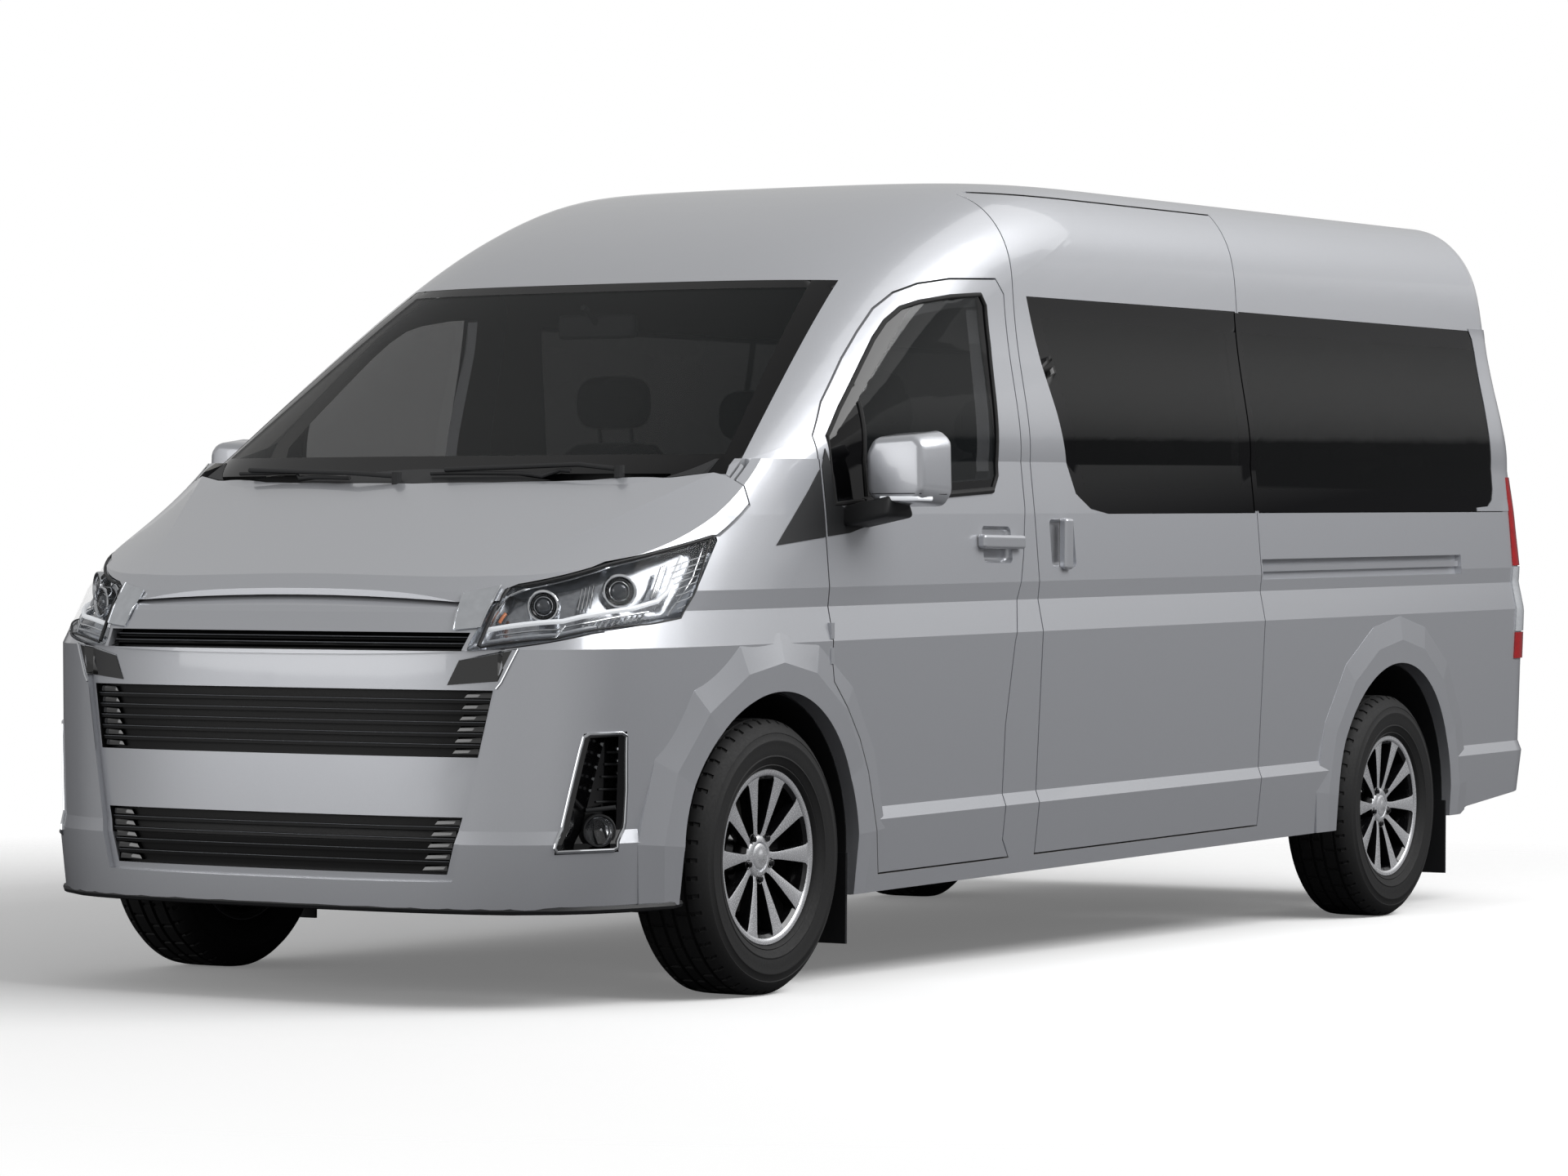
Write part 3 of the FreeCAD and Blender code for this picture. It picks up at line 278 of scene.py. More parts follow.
def done(piece, body, *materials, smooth=30, stands_for=()):
    """Settle a piece at the origin, give its finishes, smooth it and let it ride on a body."""
    only(piece)
    bpy.ops.object.transform_apply(location=True, rotation=True, scale=True)
    slots = piece.data.materials
    for material in materials[len(slots):]:
        slots.append(material)
    bpy.ops.object.shade_smooth_by_angle(angle=math.radians(smooth))
    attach(piece, body)
    if stands_for:
        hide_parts(*stands_for)
    return piece


def modified(piece, kind, **values):
    """Add one modifier, set it and apply it."""
    only(piece)
    modifier = piece.modifiers.new(kind.lower(), kind)
    for key, value in values.items():
        setattr(modifier, key, value)
    bpy.ops.object.modifier_apply(modifier=modifier.name)
    return piece


def bevelled(piece, width, segments=3, **more):
    return modified(piece, "BEVEL", width=width, segments=segments, **more)


def thickened(piece, thickness, offset=-1):
    return modified(piece, "SOLIDIFY", thickness=thickness, offset=offset)


def turned_round(name, profile, steps, *materials):
    """A round part: an outline of (radius, offset along the axle) spun round the axle."""
    piece = drawn(name, [(radius, offset, 0) for radius, offset in profile])
    bpy.ops.mesh.spin(steps=steps, angle=math.tau, center=(0, 0, 0), axis=(0, 1, 0))
    close_up()
    for material in materials:
        piece.data.materials.append(material)
    return piece


def pushed(name, outline, step):
    """A closed outline pushed along a step into a solid form."""
    piece = drawn(name, outline, closed=True)
    select_all()
    bpy.ops.mesh.extrude_region_move(TRANSFORM_OT_translate={"value": step})
    close_up()
    return piece


def at_x(x, outline):
    return [(x, y, z) for y, z in outline]


def copy_of(piece, name):
    twin = piece.copy()
    twin.data = piece.data.copy()
    twin.name = name
    scene.collection.objects.link(twin)
    return twin


def welded_copy(node, name):
    """A copy of a node without its finishes, welded, left in edit mode."""
    piece = copy_of(nodes[node], name)
    piece.data.materials.clear()
    opened(piece)
    bpy.ops.mesh.select_mode(type="VERT")
    select_all()
    bpy.ops.mesh.remove_doubles(threshold=NODE_WELD)
    return piece


def joined(name, pieces):
    only(*pieces)
    if len(pieces) > 1:
        bpy.ops.object.join()
    pieces[0].name = name
    return pieces[0]


def placed(piece, where, turn=0.0):
    """Move a piece's mesh to a place after turning it about the vertical."""
    piece.data.transform(Matrix.Translation(where) @ Matrix.Rotation(turn, 4, "Z"))
    return piece


def aimed(piece, place, axis):
    """Turn a piece whose own axle is +Y to an axis and put it in place."""
    turn = Vector((0, 1, 0)).rotation_difference(Vector(axis).normalized()).to_matrix().to_4x4()
    piece.data.transform(Matrix.Translation(place) @ turn)
    return piece


def across(piece, name):
    """The mirror image of a piece on the other side of the vehicle."""
    twin = copy_of(piece, name)
    twin.data.transform(Matrix.Scale(-1, 4, (0, 1, 0)))
    opened(twin)
    bpy.ops.mesh.flip_normals()
    leave()
    return twin


def both_sides(pieces, name, *materials, smooth=35):
    """One node of the body from pieces on the left and their mirror images on the right."""
    first = joined(name, pieces)
    second = across(first, name + "_twin")
    return done(joined(name, [first, second]), "body", *materials, smooth=smooth)


def on_doors(piece, pattern, *materials, smooth=30, stands_for=()):
    """Put a piece on the left front door and its mirror image on the right one."""
    twin = across(piece, pattern.format("right"))
    done(piece, "front_left_door", *materials, smooth=smooth,
         stands_for=[node.format("left") for node in stands_for])
    piece.name = pattern.format("left")
    done(twin, "front_right_door", *materials, smooth=smooth,
         stands_for=[node.format("right") for node in stands_for])


def block(name, low, high, bevel, segments=3):
    """A bevelled block between two corners."""
    middle = (Vector(low) + Vector(high)) / 2
    bpy.ops.object.select_all(action="DESELECT")
    bpy.ops.mesh.primitive_cube_add(size=1, location=middle)
    piece = bpy.context.object
    piece.name = name
    piece.scale = Vector(high) - Vector(low)
    bpy.ops.object.transform_apply(location=True, rotation=True, scale=True)
    return bevelled(piece, bevel, segments)


def pipe(name, points, radius, resolution=3, cyclic=False):
    """A round bar along points, as a mesh."""
    line = bpy.data.curves.new(name, "CURVE")
    line.dimensions = "3D"
    line.bevel_depth = radius
    line.bevel_resolution = resolution
    line.use_fill_caps = True
    spline = line.splines.new("POLY")
    spline.points.add(len(points) - 1)
    for point, place in zip(spline.points, points):
        point.co = (*place, 1)
    spline.use_cyclic_u = cyclic
    piece = bpy.data.objects.new(name, line)
    scene.collection.objects.link(piece)
    only(piece)
    bpy.ops.object.convert(target="MESH")
    piece = bpy.context.object
    opened(piece)
    close_up()
    return piece


# The body's skin, to seat trim on it.
def tree_of(*pieces, keeps=None):
    """Search tree of the pieces' faces, or of those that a test keeps."""
    points = []
    faces = []
    for piece in pieces:
        start = len(points)
        points += [vertex.co.copy() for vertex in piece.data.vertices]
        faces += [[start + corner for corner in face.vertices] for face in piece.data.polygons
                  if keeps is None or keeps(face)]
    return BVHTree.FromPolygons(points, faces)


def faces_of(names):
    return tree_of(*[nodes[name] for name in names.split()])


side_skin = faces_of("left_side front_left_door front_left_glass sliding_door sliding_door_glass side_glass "
                     "front_fenders front_bumper rear_bumper headlamps tail_lamps roof")
nose_skin = faces_of("front_bumper upper_panel headlamps bonnet front_fenders windscreen roof cowl "
                     "fog_lamps")
tail_skin = faces_of("tailgate tailgate_glass rear_bumper roof tail_lamps left_side right_side")
grille_skin = faces_of("grille")
fog_skin = faces_of("fog_lamps")
panel_skin = faces_of("upper_panel")
screen_skin = faces_of("windscreen cowl roof")
GAP_STEPS = (0, 0.008, -0.008)
BESIDE, BEYOND = 1.4, 4
SIDE_Y, NOSE_X, TAIL_X = 0.9, 2.8, -2.9


def hits(skin, starts, way):
    """Where rays from outside meet a skin; the extra starts pass over the small gaps between panels."""
    reached = [skin.ray_cast(Vector(start), Vector(way))[0] for start in starts]
    return [point for point in reached if point]


def side_at(x, z):
    """Point of the left skin at a place of the side view."""
    found = hits(side_skin, [(x + step, BESIDE, z) for step in GAP_STEPS], (0, -1, 0))
    return Vector((x, max([point.y for point in found], default=SIDE_Y), z))


def nose_at(y, z, skin=nose_skin):
    """Point of the front skin at a place of the front view."""
    found = hits(skin, [(BEYOND, y, z + step) for step in GAP_STEPS], (-1, 0, 0))
    return Vector((max([point.x for point in found], default=NOSE_X), y, z))


def tail_at(y, z):
    """Point of the rear skin at a place of the rear view."""
    found = hits(tail_skin, [(-BEYOND, y, z + step) for step in GAP_STEPS], (1, 0, 0))
    return Vector((min([point.x for point in found], default=TAIL_X), y, z))


SEATS = {"side": side_at, "nose": nose_at, "tail": tail_at}
OUTWARD = {"side": Vector((0, 1, 0)), "nose": Vector((1, 0, 0)), "tail": Vector((-1, 0, 0))}


def grounded(view, points):
    """Points of a view, (x, z) from the side or (y, z), with body heights turned to ground heights."""
    line_up = {"nose": FRONT_X, "tail": BACK_X}
    return [(spot, level(line_up.get(view, spot), z)) for spot, z in points]


def cut_lines(values, pitch):
    low, high = min(values), max(values)
    count = max(1, int((high - low) / pitch))
    return [low + (high - low) * step / count for step in range(1, count)]


def skin_sheet(name, outline, view, proud, thick, pitch=0.03):
    """A thin plate that follows the skin inside an outline of body heights.

    The plate is drawn flat, cut into strips, laid on the skin and thickened inwards.
    """
    outline = grounded(view, outline)
    from_side = view == "side"
    piece = drawn(name, [(spot, 0, z) if from_side else (0, spot, z) for spot, z in outline], closed=True)
    for cut in cut_lines([spot for spot, _ in outline], pitch):
        cut_at((cut, 0, 0) if from_side else (0, cut, 0), (1, 0, 0) if from_side else (0, 1, 0))
    for cut in cut_lines([z for _, z in outline], pitch):
        cut_at((0, 0, cut), (0, 0, 1))
    leave()
    for vertex in piece.data.vertices:
        spot = vertex.co.x if from_side else vertex.co.y
        vertex.co = SEATS[view](spot, vertex.co.z) + OUTWARD[view] * proud
    opened(piece)
    bpy.ops.mesh.normals_make_consistent(inside=False)
    leave()
    if sum((face.normal for face in piece.data.polygons), Vector()).dot(OUTWARD[view]) < 0:
        opened(piece)
        bpy.ops.mesh.flip_normals()
        leave()
    return thickened(piece, thick)


def sheets(name, material, *sheet):
    """The same plate on both sides of the body."""
    both_sides([skin_sheet(name, *sheet)], name, material)


def spread(points, pitch=0.02):
    """Extra points between the given ones, evenly."""
    line = [Vector(points[0])]
    for start, end in zip(points, points[1:]):
        start, end = Vector(start), Vector(end)
        count = max(1, round((end - start).length / pitch))
        line += [start.lerp(end, step / count) for step in range(1, count + 1)]
    return line


def side_line(name, outline, radius, proud, pitch, cyclic=False):
    """A round bead laid on the left skin along (x, z) points."""
    flat = spread([(x, 0, z) for x, z in grounded("side", outline)], pitch)
    places = [side_at(point.x, point.z) + Vector((0, proud, 0)) for point in flat]
    return pipe(name, places, radius, 2, cyclic)


def nose_line(name, outline, radius, proud, pitch=0.02, cyclic=False, skin=nose_skin):
    """A round bead laid on the front skin along (y, z) points."""
    flat = spread([(0, y, z) for y, z in grounded("nose", outline)], pitch)
    places = [nose_at(point.y, point.z, skin) + Vector((proud, 0, 0)) for point in flat]
    return pipe(name, places, radius, 2, cyclic)


def tail_line(name, outline, radius, proud):
    """A round bead laid on the rear skin along (y, z) points."""
    flat = spread(grounded("tail", outline), 0.04)
    return pipe(name, [tail_at(y, z) - Vector((proud, 0, 0)) for y, z in flat], radius, 3)


# Wheels: one tyre and one rim are modelled round the origin, outer face to +Y, and copied four times.
TREAD = [(-0.082, 0.3535), (-0.0665, 0.3552), (-0.066, 0.3475), (-0.057, 0.3475), (-0.0565, 0.3556),
         (-0.0235, 0.3560), (-0.023, 0.3478), (-0.013, 0.3478), (-0.0125, 0.3560), (0.0125, 0.3560),
         (0.013, 0.3478), (0.023, 0.3478), (0.0235, 0.3560), (0.0565, 0.3556), (0.057, 0.3475),
         (0.066, 0.3475), (0.0665, 0.3552), (0.082, 0.3535)]
SIDEWALL = [(0.2265, 0.092), (0.231, 0.1005), (0.236, 0.1045), (0.2385, 0.1035), (0.244, 0.1075),
            (0.256, 0.1125), (0.258, 0.1145), (0.2605, 0.1145), (0.262, 0.1135), (0.280, 0.1168),
            (0.296, 0.1170), (0.2975, 0.1175), (0.3005, 0.1173), (0.302, 0.1160), (0.318, 0.1128),
            (0.3195, 0.1137), (0.3225, 0.1125), (0.334, 0.1040), (0.3435, 0.0955)]
TYRE_STEPS = 192
SHOULDER_START, SHOULDER_RADIUS, SHOULDER_PITCH = 0.067, 0.3445, 4
RIB_END, RIB_RADIUS, RIB_PITCH = 0.0565, 0.3548, 6
GROOVE_EDGE, GROOVE_DEPTH = 0.0016, 0.0045


def axle_radius(centre):
    return math.hypot(centre.x, centre.z)


def tyre():
    """A tyre with pressed-in blocks on its shoulders and ribs."""
    profile = [(radius, -offset) for radius, offset in SIDEWALL]
    profile += [(radius, offset) for offset, radius in TREAD]
    profile += [(radius, offset) for radius, offset in reversed(SIDEWALL)]
    profile.append(profile[0])
    piece = turned_round("tyre", profile, TYRE_STEPS)
    opened(piece)
    bpy.ops.mesh.select_mode(type="FACE")
    select_all("DESELECT")
    leave()
    for face in piece.data.polygons:
        centre = face.center
        radius = axle_radius(centre)
        turn = int(math.atan2(centre.z, centre.x) / math.tau * TYRE_STEPS + TYRE_STEPS)
        on_shoulder = abs(centre.y) > SHOULDER_START and radius > SHOULDER_RADIUS
        on_rib = abs(centre.y) < RIB_END and radius > RIB_RADIUS
        rib_turn = 0 if centre.y > 0 else RIB_PITCH // 2
        shoulder = on_shoulder and turn % SHOULDER_PITCH == 0
        centre_rib = on_rib and turn % RIB_PITCH == rib_turn
        face.select = shoulder or centre_rib
    enter()
    bpy.ops.mesh.inset(thickness=GROOVE_EDGE, depth=-GROOVE_DEPTH, use_individual=True)
    leave()
    return piece


SPOKES = 10
SPOKE_EDGE = [(0.040, 0.0150), (0.052, 0.0118), (0.066, 0.0098), (0.084, 0.0100), (0.104, 0.0120),
              (0.128, 0.0148), (0.156, 0.0180), (0.184, 0.0215), (0.200, 0.0245), (0.2095, 0.0315)]


SPOKE_LOW, SPOKE_RISE, SPOKE_BEND = 0.064, 0.026, 0.8
SPOKE_START, SPOKE_LENGTH, SPOKE_DEPTH = 0.04, 0.17, 0.034
SPOKE_ROUNDING = 0.0014
FACE_DEPTH = 0.004


def spoke_face(radius):
    """How far out a spoke's face stands, from the hub to the rim."""
    return SPOKE_LOW + SPOKE_RISE * min(1, max(0, (radius - SPOKE_START) / SPOKE_LENGTH)) ** SPOKE_BEND


def spokes():
    outline = [(radius, 0, half) for radius, half in SPOKE_EDGE]
    outline += [(radius, 0, -half) for radius, half in reversed(SPOKE_EDGE)]
    piece = drawn("spokes", outline, closed=True)
    for radius, _ in SPOKE_EDGE[1:-1]:
        cut_at((radius, 0, 0), (1, 0, 0))
    leave()
    for vertex in piece.data.vertices:
        vertex.co.y = spoke_face(vertex.co.x)
    thickened(piece, SPOKE_DEPTH, 1 if piece.data.polygons[0].normal.y < 0 else -1)
    opened(piece)
    close_up()
    bevelled(piece, SPOKE_ROUNDING, 2, limit_method="ANGLE", angle_limit=math.radians(50))
    piece.data.materials.append(machined)
    piece.data.materials.append(black_alloy)
    for face in piece.data.polygons:
        face_low = spoke_face(axle_radius(face.center)) - FACE_DEPTH
        on_face = face.normal.y > 0.75 and face.center.y > face_low
        face.material_index = 0 if on_face else 1
    copies = [piece]
    for number in range(1, SPOKES):
        twin = copy_of(piece, f"spoke_{number}")
        twin.data.transform(Matrix.Rotation(math.tau * number / SPOKES, 4, "Y"))
        copies.append(twin)
    return joined("spokes", copies)


LUGS = 5
LUG_RADIUS = 0.0575
LUG_START = math.radians(18)


def lug_ring(master):
    """Copies of a piece set round the axle, one at each lug."""
    copies = []
    for number in range(LUGS):
        twin = copy_of(master, f"{master.name}_{number}")
        twin.data.transform(Matrix.Rotation(LUG_START + math.tau * number / LUGS, 4, "Y")
                            @ Matrix.Translation((LUG_RADIUS, 0, 0)))
        copies.append(twin)
    bpy.data.objects.remove(master)
    return copies


def rim():
    lip = turned_round("rim_lip", [
        (0.2085, 0.0885), (0.2115, 0.0925), (0.2175, 0.0945), (0.2245, 0.0950), (0.2262, 0.0930),
        (0.2262, 0.0885), (0.2085, 0.0885)], 120, machined)
    barrel = turned_round("rim_barrel", [
        (0.2115, 0.0915), (0.2000, 0.0820), (0.1960, 0.060), (0.1900, 0.0), (0.1900, -0.085),
        (0.2245, -0.0945), (0.2262, -0.0945), (0.2262, -0.080), (0.2000, -0.072), (0.1975, 0.0),
        (0.2040, 0.064), (0.2262, 0.078), (0.2262, 0.0900), (0.2115, 0.0915)], 96, black_alloy)
    hub = turned_round("rim_hub", [
        (0.0301, -0.004), (0.0301, 0.0600), (0.0375, 0.0680), (0.0390, 0.0720), (0.0465, 0.0715),
        (0.0530, 0.0685), (0.0570, 0.0640), (0.0660, 0.0500), (0.0700, 0.0300), (0.0850, 0.0180),
        (0.0850, -0.004), (0.0301, -0.004)], 80, machined, black_alloy)
    for face in hub.data.polygons:
        face.material_index = 0 if axle_radius(face.center) < 0.060 and face.center.y > 0.06 else 1
    cap = turned_round("rim_cap", [
        (CENTRE, 0.0765), (0.0120, 0.0762), (0.0135, 0.0752), (0.0240, 0.0748), (0.0300, 0.0738),
        (0.0345, 0.0712), (0.0362, 0.0670), (0.0362, 0.0600), (CENTRE, 0.0600)], 64, machined)
    pocket = turned_round("lug_pocket", [
        (CENTRE, 0.0655), (0.0095, 0.0655), (0.0112, 0.0700), (0.0124, 0.0706), (0.0136, 0.0690),
        (0.0136, 0.0500), (CENTRE, 0.0500)], 24, black_alloy)
    bpy.ops.object.select_all(action="DESELECT")
    bpy.ops.mesh.primitive_cylinder_add(vertices=6, radius=0.0085, depth=0.014, rotation=(math.pi / 2, 0, 0),
                                        location=(0, 0.0715, 0))
    nut = bpy.context.object
    nut.name = "lug_nut"
    bpy.ops.object.transform_apply(location=True, rotation=True, scale=True)
    bevelled(nut, 0.0022, 2)
    nut.data.materials.append(black_alloy)
    return joined("rim", [lip, barrel, hub, cap, spokes(), *lug_ring(pocket), *lug_ring(nut)])


tyre_master = tyre()
rim_master = rim()
for corner, x, y in CORNERS:
    turn = 0 if y > 0 else math.pi
    place = (x, y, TYRE_RADIUS)
    done(placed(copy_of(tyre_master, corner + "_road_tyre"), place, turn), corner + "_wheel", rubber,
         stands_for=[corner + "_tyre"], smooth=35)
    done(placed(copy_of(rim_master, corner + "_spoked_rim"), place, turn), corner + "_wheel",
         stands_for=[corner + "_rim"], smooth=35)
bpy.data.objects.remove(tyre_master)
bpy.data.objects.remove(rim_master)

# Lamps, grille and black trim of the nose. Places are measured points (x, y, height at the front axle).
def faces_out(face):
    """Whether a face of a headlamp looks away from the vehicle."""
    away = Vector((face.center.x - CABIN_FRONT, face.center.y * 1.3, 0))
    return face.normal.dot(away.normalized()) > TURNED


lamp_skin = tree_of(nodes["headlamps"], keeps=faces_out)


def in_lamp(point, depth):
    """A point at a depth below the lamp's cover, from a measured place."""
    x, y, z = point
    reached, normal, _, _ = lamp_skin.find_nearest(Vector((x, y, level(x, z))))
    return reached - normal * depth


def lamp_beads(name, material, *beads):
    """Round beads in both headlamps; each is its depth below the cover, its radius and its points."""
    both_sides([pipe(f"{name}_{number}", [in_lamp(point, depth) for point in spread(points)], radius, 2)
                for number, (depth, radius, points) in enumerate(beads)], name, material)


def part_of(node, name, keeps):
    """A copy of a node cut down to the faces that a test keeps."""
    piece = welded_copy(node, name)
    bpy.ops.mesh.select_mode(type="FACE")
    select_all("DESELECT")
    leave()
    for face in piece.data.polygons:
        face.select = not keeps(face)
        face.material_index = 0
    enter()
    bpy.ops.mesh.delete(type="FACE")
    leave()
    return piece


cover = part_of("headlamps", "headlamp_covers", faces_out)
done(thickened(cover, 0.002), "body", lamp_cover)
bowl = part_of("headlamps", "headlamp_bowls", lambda face: not faces_out(face))
done(thickened(bowl, 0.0015), "body", lamp_bowl, stands_for=["headlamps"])

# A round lamp for a lens radius of 0.034: shroud, dark cup, bright ring and a domed lens.
PROJECTOR_SIZE = 0.034
PROJECTOR_DEPTH = 0.022
FACET_RADIUS = 0.0030
PROJECTOR = (
    ("shroud", 56, chrome,
     [(0.0405, -0.022), (0.0405, 0.004), (0.0385, 0.0068), (0.0352, 0.0070), (0.0335, 0.0040),
                            (0.0300, -0.004), (0.0300, -0.022)]),
    ("cup", 48, black_alloy, [(0.0300, -0.001), (0.0265, -0.0035), (0.0255, -0.010), (CENTRE, -0.014),
                              (CENTRE, -0.020), (0.0305, -0.020)]),
    ("inner_ring", 48, chrome, [(0.0255, -0.009), (0.0240, -0.002), (0.0222, -0.001), (0.0212, -0.004),
                                (0.0212, -0.012)]),
    ("lens", 40, lamp_eye, [(0.0212, -0.010), (0.0205, -0.003), (0.0165, 0.0025), (0.0100, 0.0055),
                            (CENTRE, 0.0066), (CENTRE, -0.010)]))


def projector(name, point, axis, size):
    """A round lamp below the cover; only its radii follow its size."""
    scale = size / PROJECTOR_SIZE
    place = in_lamp(point, PROJECTOR_DEPTH)
    pieces = []
    for part, steps, material, profile in PROJECTOR:
        sized = [(radius * scale if radius > CENTRE else radius, offset) for radius, offset in profile]
        pieces.append(aimed(turned_round(f"{name}_{part}", sized, steps, material), place, axis))
    return pieces


both_sides(projector("low_beam", (2.767, 0.701, 1.022), (0.92, 0.40, 0.02), 0.034)
           + projector("high_beam", (2.615, 0.834, 1.055), (0.80, 0.60, 0.02), 0.036), "headlamp_projectors")

lamp_beads("headlamp_light_guides", guide_white, (0.014, 0.0062, [
    (2.866, 0.590, 0.962), (2.766, 0.762, 0.982), (2.602, 0.872, 1.008), (2.530, 0.893, 1.022),
    (2.496, 0.899, 1.046), (2.410, 0.882, 1.131)]))
lamp_beads("headlamp_low_guides", clear_strip, (0.016, 0.0046, [
    (2.875, 0.600, 0.930), (2.785, 0.757, 0.947), (2.700, 0.815, 0.960)]))
lamp_beads("headlamp_side_markers", amber, (0.022, 0.0045, [(2.842, 0.628, 1.025), (2.852, 0.618, 0.990)]))
lamp_beads(
    "headlamp_bright_rims", chrome,
    (0.012, 0.0036, [(2.790, 0.612, 1.053), (2.612, 0.781, 1.108), (2.435, 0.873, 1.145),
                     (2.325, 0.900, 1.166)]),
    (0.013, 0.0022, [(2.860, 0.622, 0.946), (2.785, 0.757, 0.962), (2.700, 0.815, 0.975),
                     (2.560, 0.882, 0.995)]),
    (0.012, 0.0040, [(2.790, 0.612, 1.053), (2.862, 0.596, 0.975)]),
    (0.012, 0.0024, [(2.784, 0.748, 0.930), (2.762, 0.766, 0.966)]),
    (0.012, 0.0022, [(2.505, 0.905, 0.985), (2.400, 0.905, 1.075), (2.325, 0.900, 1.166)]))


def fan(depth, count, low, high):
    """Short bright facets between two lines, as in a pressed reflector."""
    shares = [(number + 0.5) / count for number in range(count)]
    return [(depth, FACET_RADIUS, [Vector(start).lerp(Vector(end), share) for start, end in (low, high)])
            for share in shares]


lamp_beads(
    "headlamp_reflector_facets", chrome,
    *fan(0.020, 11, ((2.745, 0.785, 0.945), (2.575, 0.882, 0.978)),
         ((2.735, 0.792, 0.968), (2.560, 0.886, 0.998))),
    *fan(0.024, 4, ((2.715, 0.765, 1.000), (2.680, 0.790, 1.006)),
         ((2.690, 0.762, 1.062), (2.655, 0.785, 1.072))),
    *fan(0.022, 3, ((2.545, 0.880, 1.030), (2.525, 0.885, 1.034)),
         ((2.480, 0.872, 1.110), (2.460, 0.876, 1.115))))
lamp_beads("headlamp_corner_ribs", clear_rib, *[
    (0.006, 0.0014, [(2.475, 0.908, 1.000 + step * 0.0165),
                     (2.400 - step * 0.010, 0.905, 1.018 + step * 0.0165)])
    for step in range(8)])
lamp_beads(
    "headlamp_seals", black_plastic,
    (0.001, 0.0042, [(2.764, 0.606, 1.070), (2.607, 0.778, 1.124), (2.464, 0.862, 1.156),
                     (2.304, 0.903, 1.189)]),
    (0.001, 0.0026, [(2.888, 0.596, 0.911), (2.797, 0.759, 0.932), (2.464, 0.929, 0.969),
                     (2.304, 0.903, 1.187)]),
    (0.000, 0.0050, [(2.888, 0.592, 0.915), (2.772, 0.602, 1.070)]))


# A black bead lies along the seam between the bonnet and the nose panel: painted shade in the gap.
SEARCH_START, SEARCH_STEPS, SEARCH_STEP = level(2.75, 0.96), 160, 0.001
SEAM_SHADE_HALF, SEAM_SHADE_PITCH, SEAM_SHADE_POINTS = 0.57, 0.03, 39
SEAM_SHADE_SHIFT = Vector((-0.003, 0, 0.0024))


def panel_top(y):
    """The upper edge of the nose panel at one distance from the middle."""
    found = None
    for step in range(SEARCH_STEPS):
        height = SEARCH_START + step * SEARCH_STEP
        reached = panel_skin.ray_cast(Vector((BEYOND, y, height)), Vector((-1, 0, 0)))[0]
        if reached:
            found = reached
    return found


edge = [panel_top(-SEAM_SHADE_HALF + step * SEAM_SHADE_PITCH) for step in range(SEAM_SHADE_POINTS)]
edge = [point + SEAM_SHADE_SHIFT for point in edge if point]
done(pipe("bonnet_seam_painted_shade", edge, 0.0026, 2), "body", black_plastic)

# Mirror-finished ends of the nose panel and gloss ends of the bar.
sheets("nose_panel_bright_ends", dark_chrome,
       [(0.500, 1.048), (0.590, 1.066), (0.583, 0.962), (0.512, 0.955)],
       "nose", 0.0024, 0.004, 0.02)
sheets("nose_bar_gloss_ends", gloss_black, [(0.536, 0.877), (0.676, 0.905), (0.640, 0.829), (0.507, 0.818)],
       "nose", 0.0022, 0.004, 0.02)
both_sides([nose_line("bar_edge", [(0.690, 0.909), (0.652, 0.826), (0.640, 0.810)], 0.0028, 0.001),
            nose_line("bar_top", [(0.536, 0.879), (0.690, 0.911)], 0.0018, 0.001),
            nose_line("panel_edge", [(0.503, 1.046), (0.514, 0.957)], 0.0020, 0.001),
            nose_line("panel_rim", [(0.590, 1.066), (0.583, 0.962)], 0.0024, 0.002)],
           "nose_bright_edges", chrome)

# Grille: a fine bright line on each slat, and stepped gloss ends in the two larger openings.
OPENINGS = [((0.552, 0.902), (0.560, 0.948), 2), ((0.588, 0.640), (0.622, 0.806), 5),
            ((0.513, 0.350), (0.552, 0.492), 4)]
BAR = 0.009
BAR_GAP = 0.002
END_WIDTH = 0.062
END_THICK = 0.016
END_ROUNDING = 0.0015
edges = []
ends = []
for (half_low, low), (half_high, high), count in OPENINGS:
    rows = count + 1
    pitch = (high - low) / rows
    for number in range(1, rows):
        height = low + number * pitch + BAR / 2 - 0.001
        half = half_low + (half_high - half_low) * number / rows - 0.004
        line = [(-half, height), (half, height)]
        edges.append(nose_line(f"slat_edge_{number}", line, 0.0013, 0.0002, 0.05, skin=grille_skin))
    for number in range(rows if count > 2 else 0):
        bottom = level(FRONT_X, low + number * pitch + BAR / 2 + BAR_GAP)
        top = level(FRONT_X, low + (number + 1) * pitch - BAR / 2 - BAR_GAP)
        half = half_low + (half_high - half_low) * (number + 0.5) / rows - 0.006
        front = nose_at(half - END_WIDTH, (bottom + top) / 2, grille_skin).x
        outer_front = nose_at(half, (bottom + top) / 2, grille_skin).x
        outline = [(front + 0.004, half - END_WIDTH - 0.012, bottom), (outer_front + 0.012, half, bottom),
                   (outer_front + 0.010, half, top), (front + 0.001, half - END_WIDTH, top)]
        piece = drawn(f"grille_end_{number}", outline, closed=True)
        leave()
        ends.append(bevelled(thickened(piece, END_THICK, 0), END_ROUNDING, 2))
done(joined("grille_slat_edges", edges), "body", satin)
both_sides(ends, "grille_stepped_ends", gloss_black, smooth=30)

# Fog lamps: bright bezel, stepped lights above a ledge and a round lamp below.
BEZEL = [(0.776, 0.410), (0.866, 0.414), (0.872, 0.420), (0.8775, 0.560), (0.8795, 0.694), (0.874, 0.702),
         (0.828, 0.700), (0.818, 0.692), (0.796, 0.560), (0.773, 0.420)]
both_sides([nose_line("fog_bezel", BEZEL, 0.0046, 0.001, 0.015, True)], "fog_lamp_bezels", chrome)
FOG_AXIS = (0.80, 0.60, 0)


def fog_point(y, z, proud=0.0):
    return nose_at(y, level(FRONT_X, z), fog_skin) + Vector((proud, 0, 0))


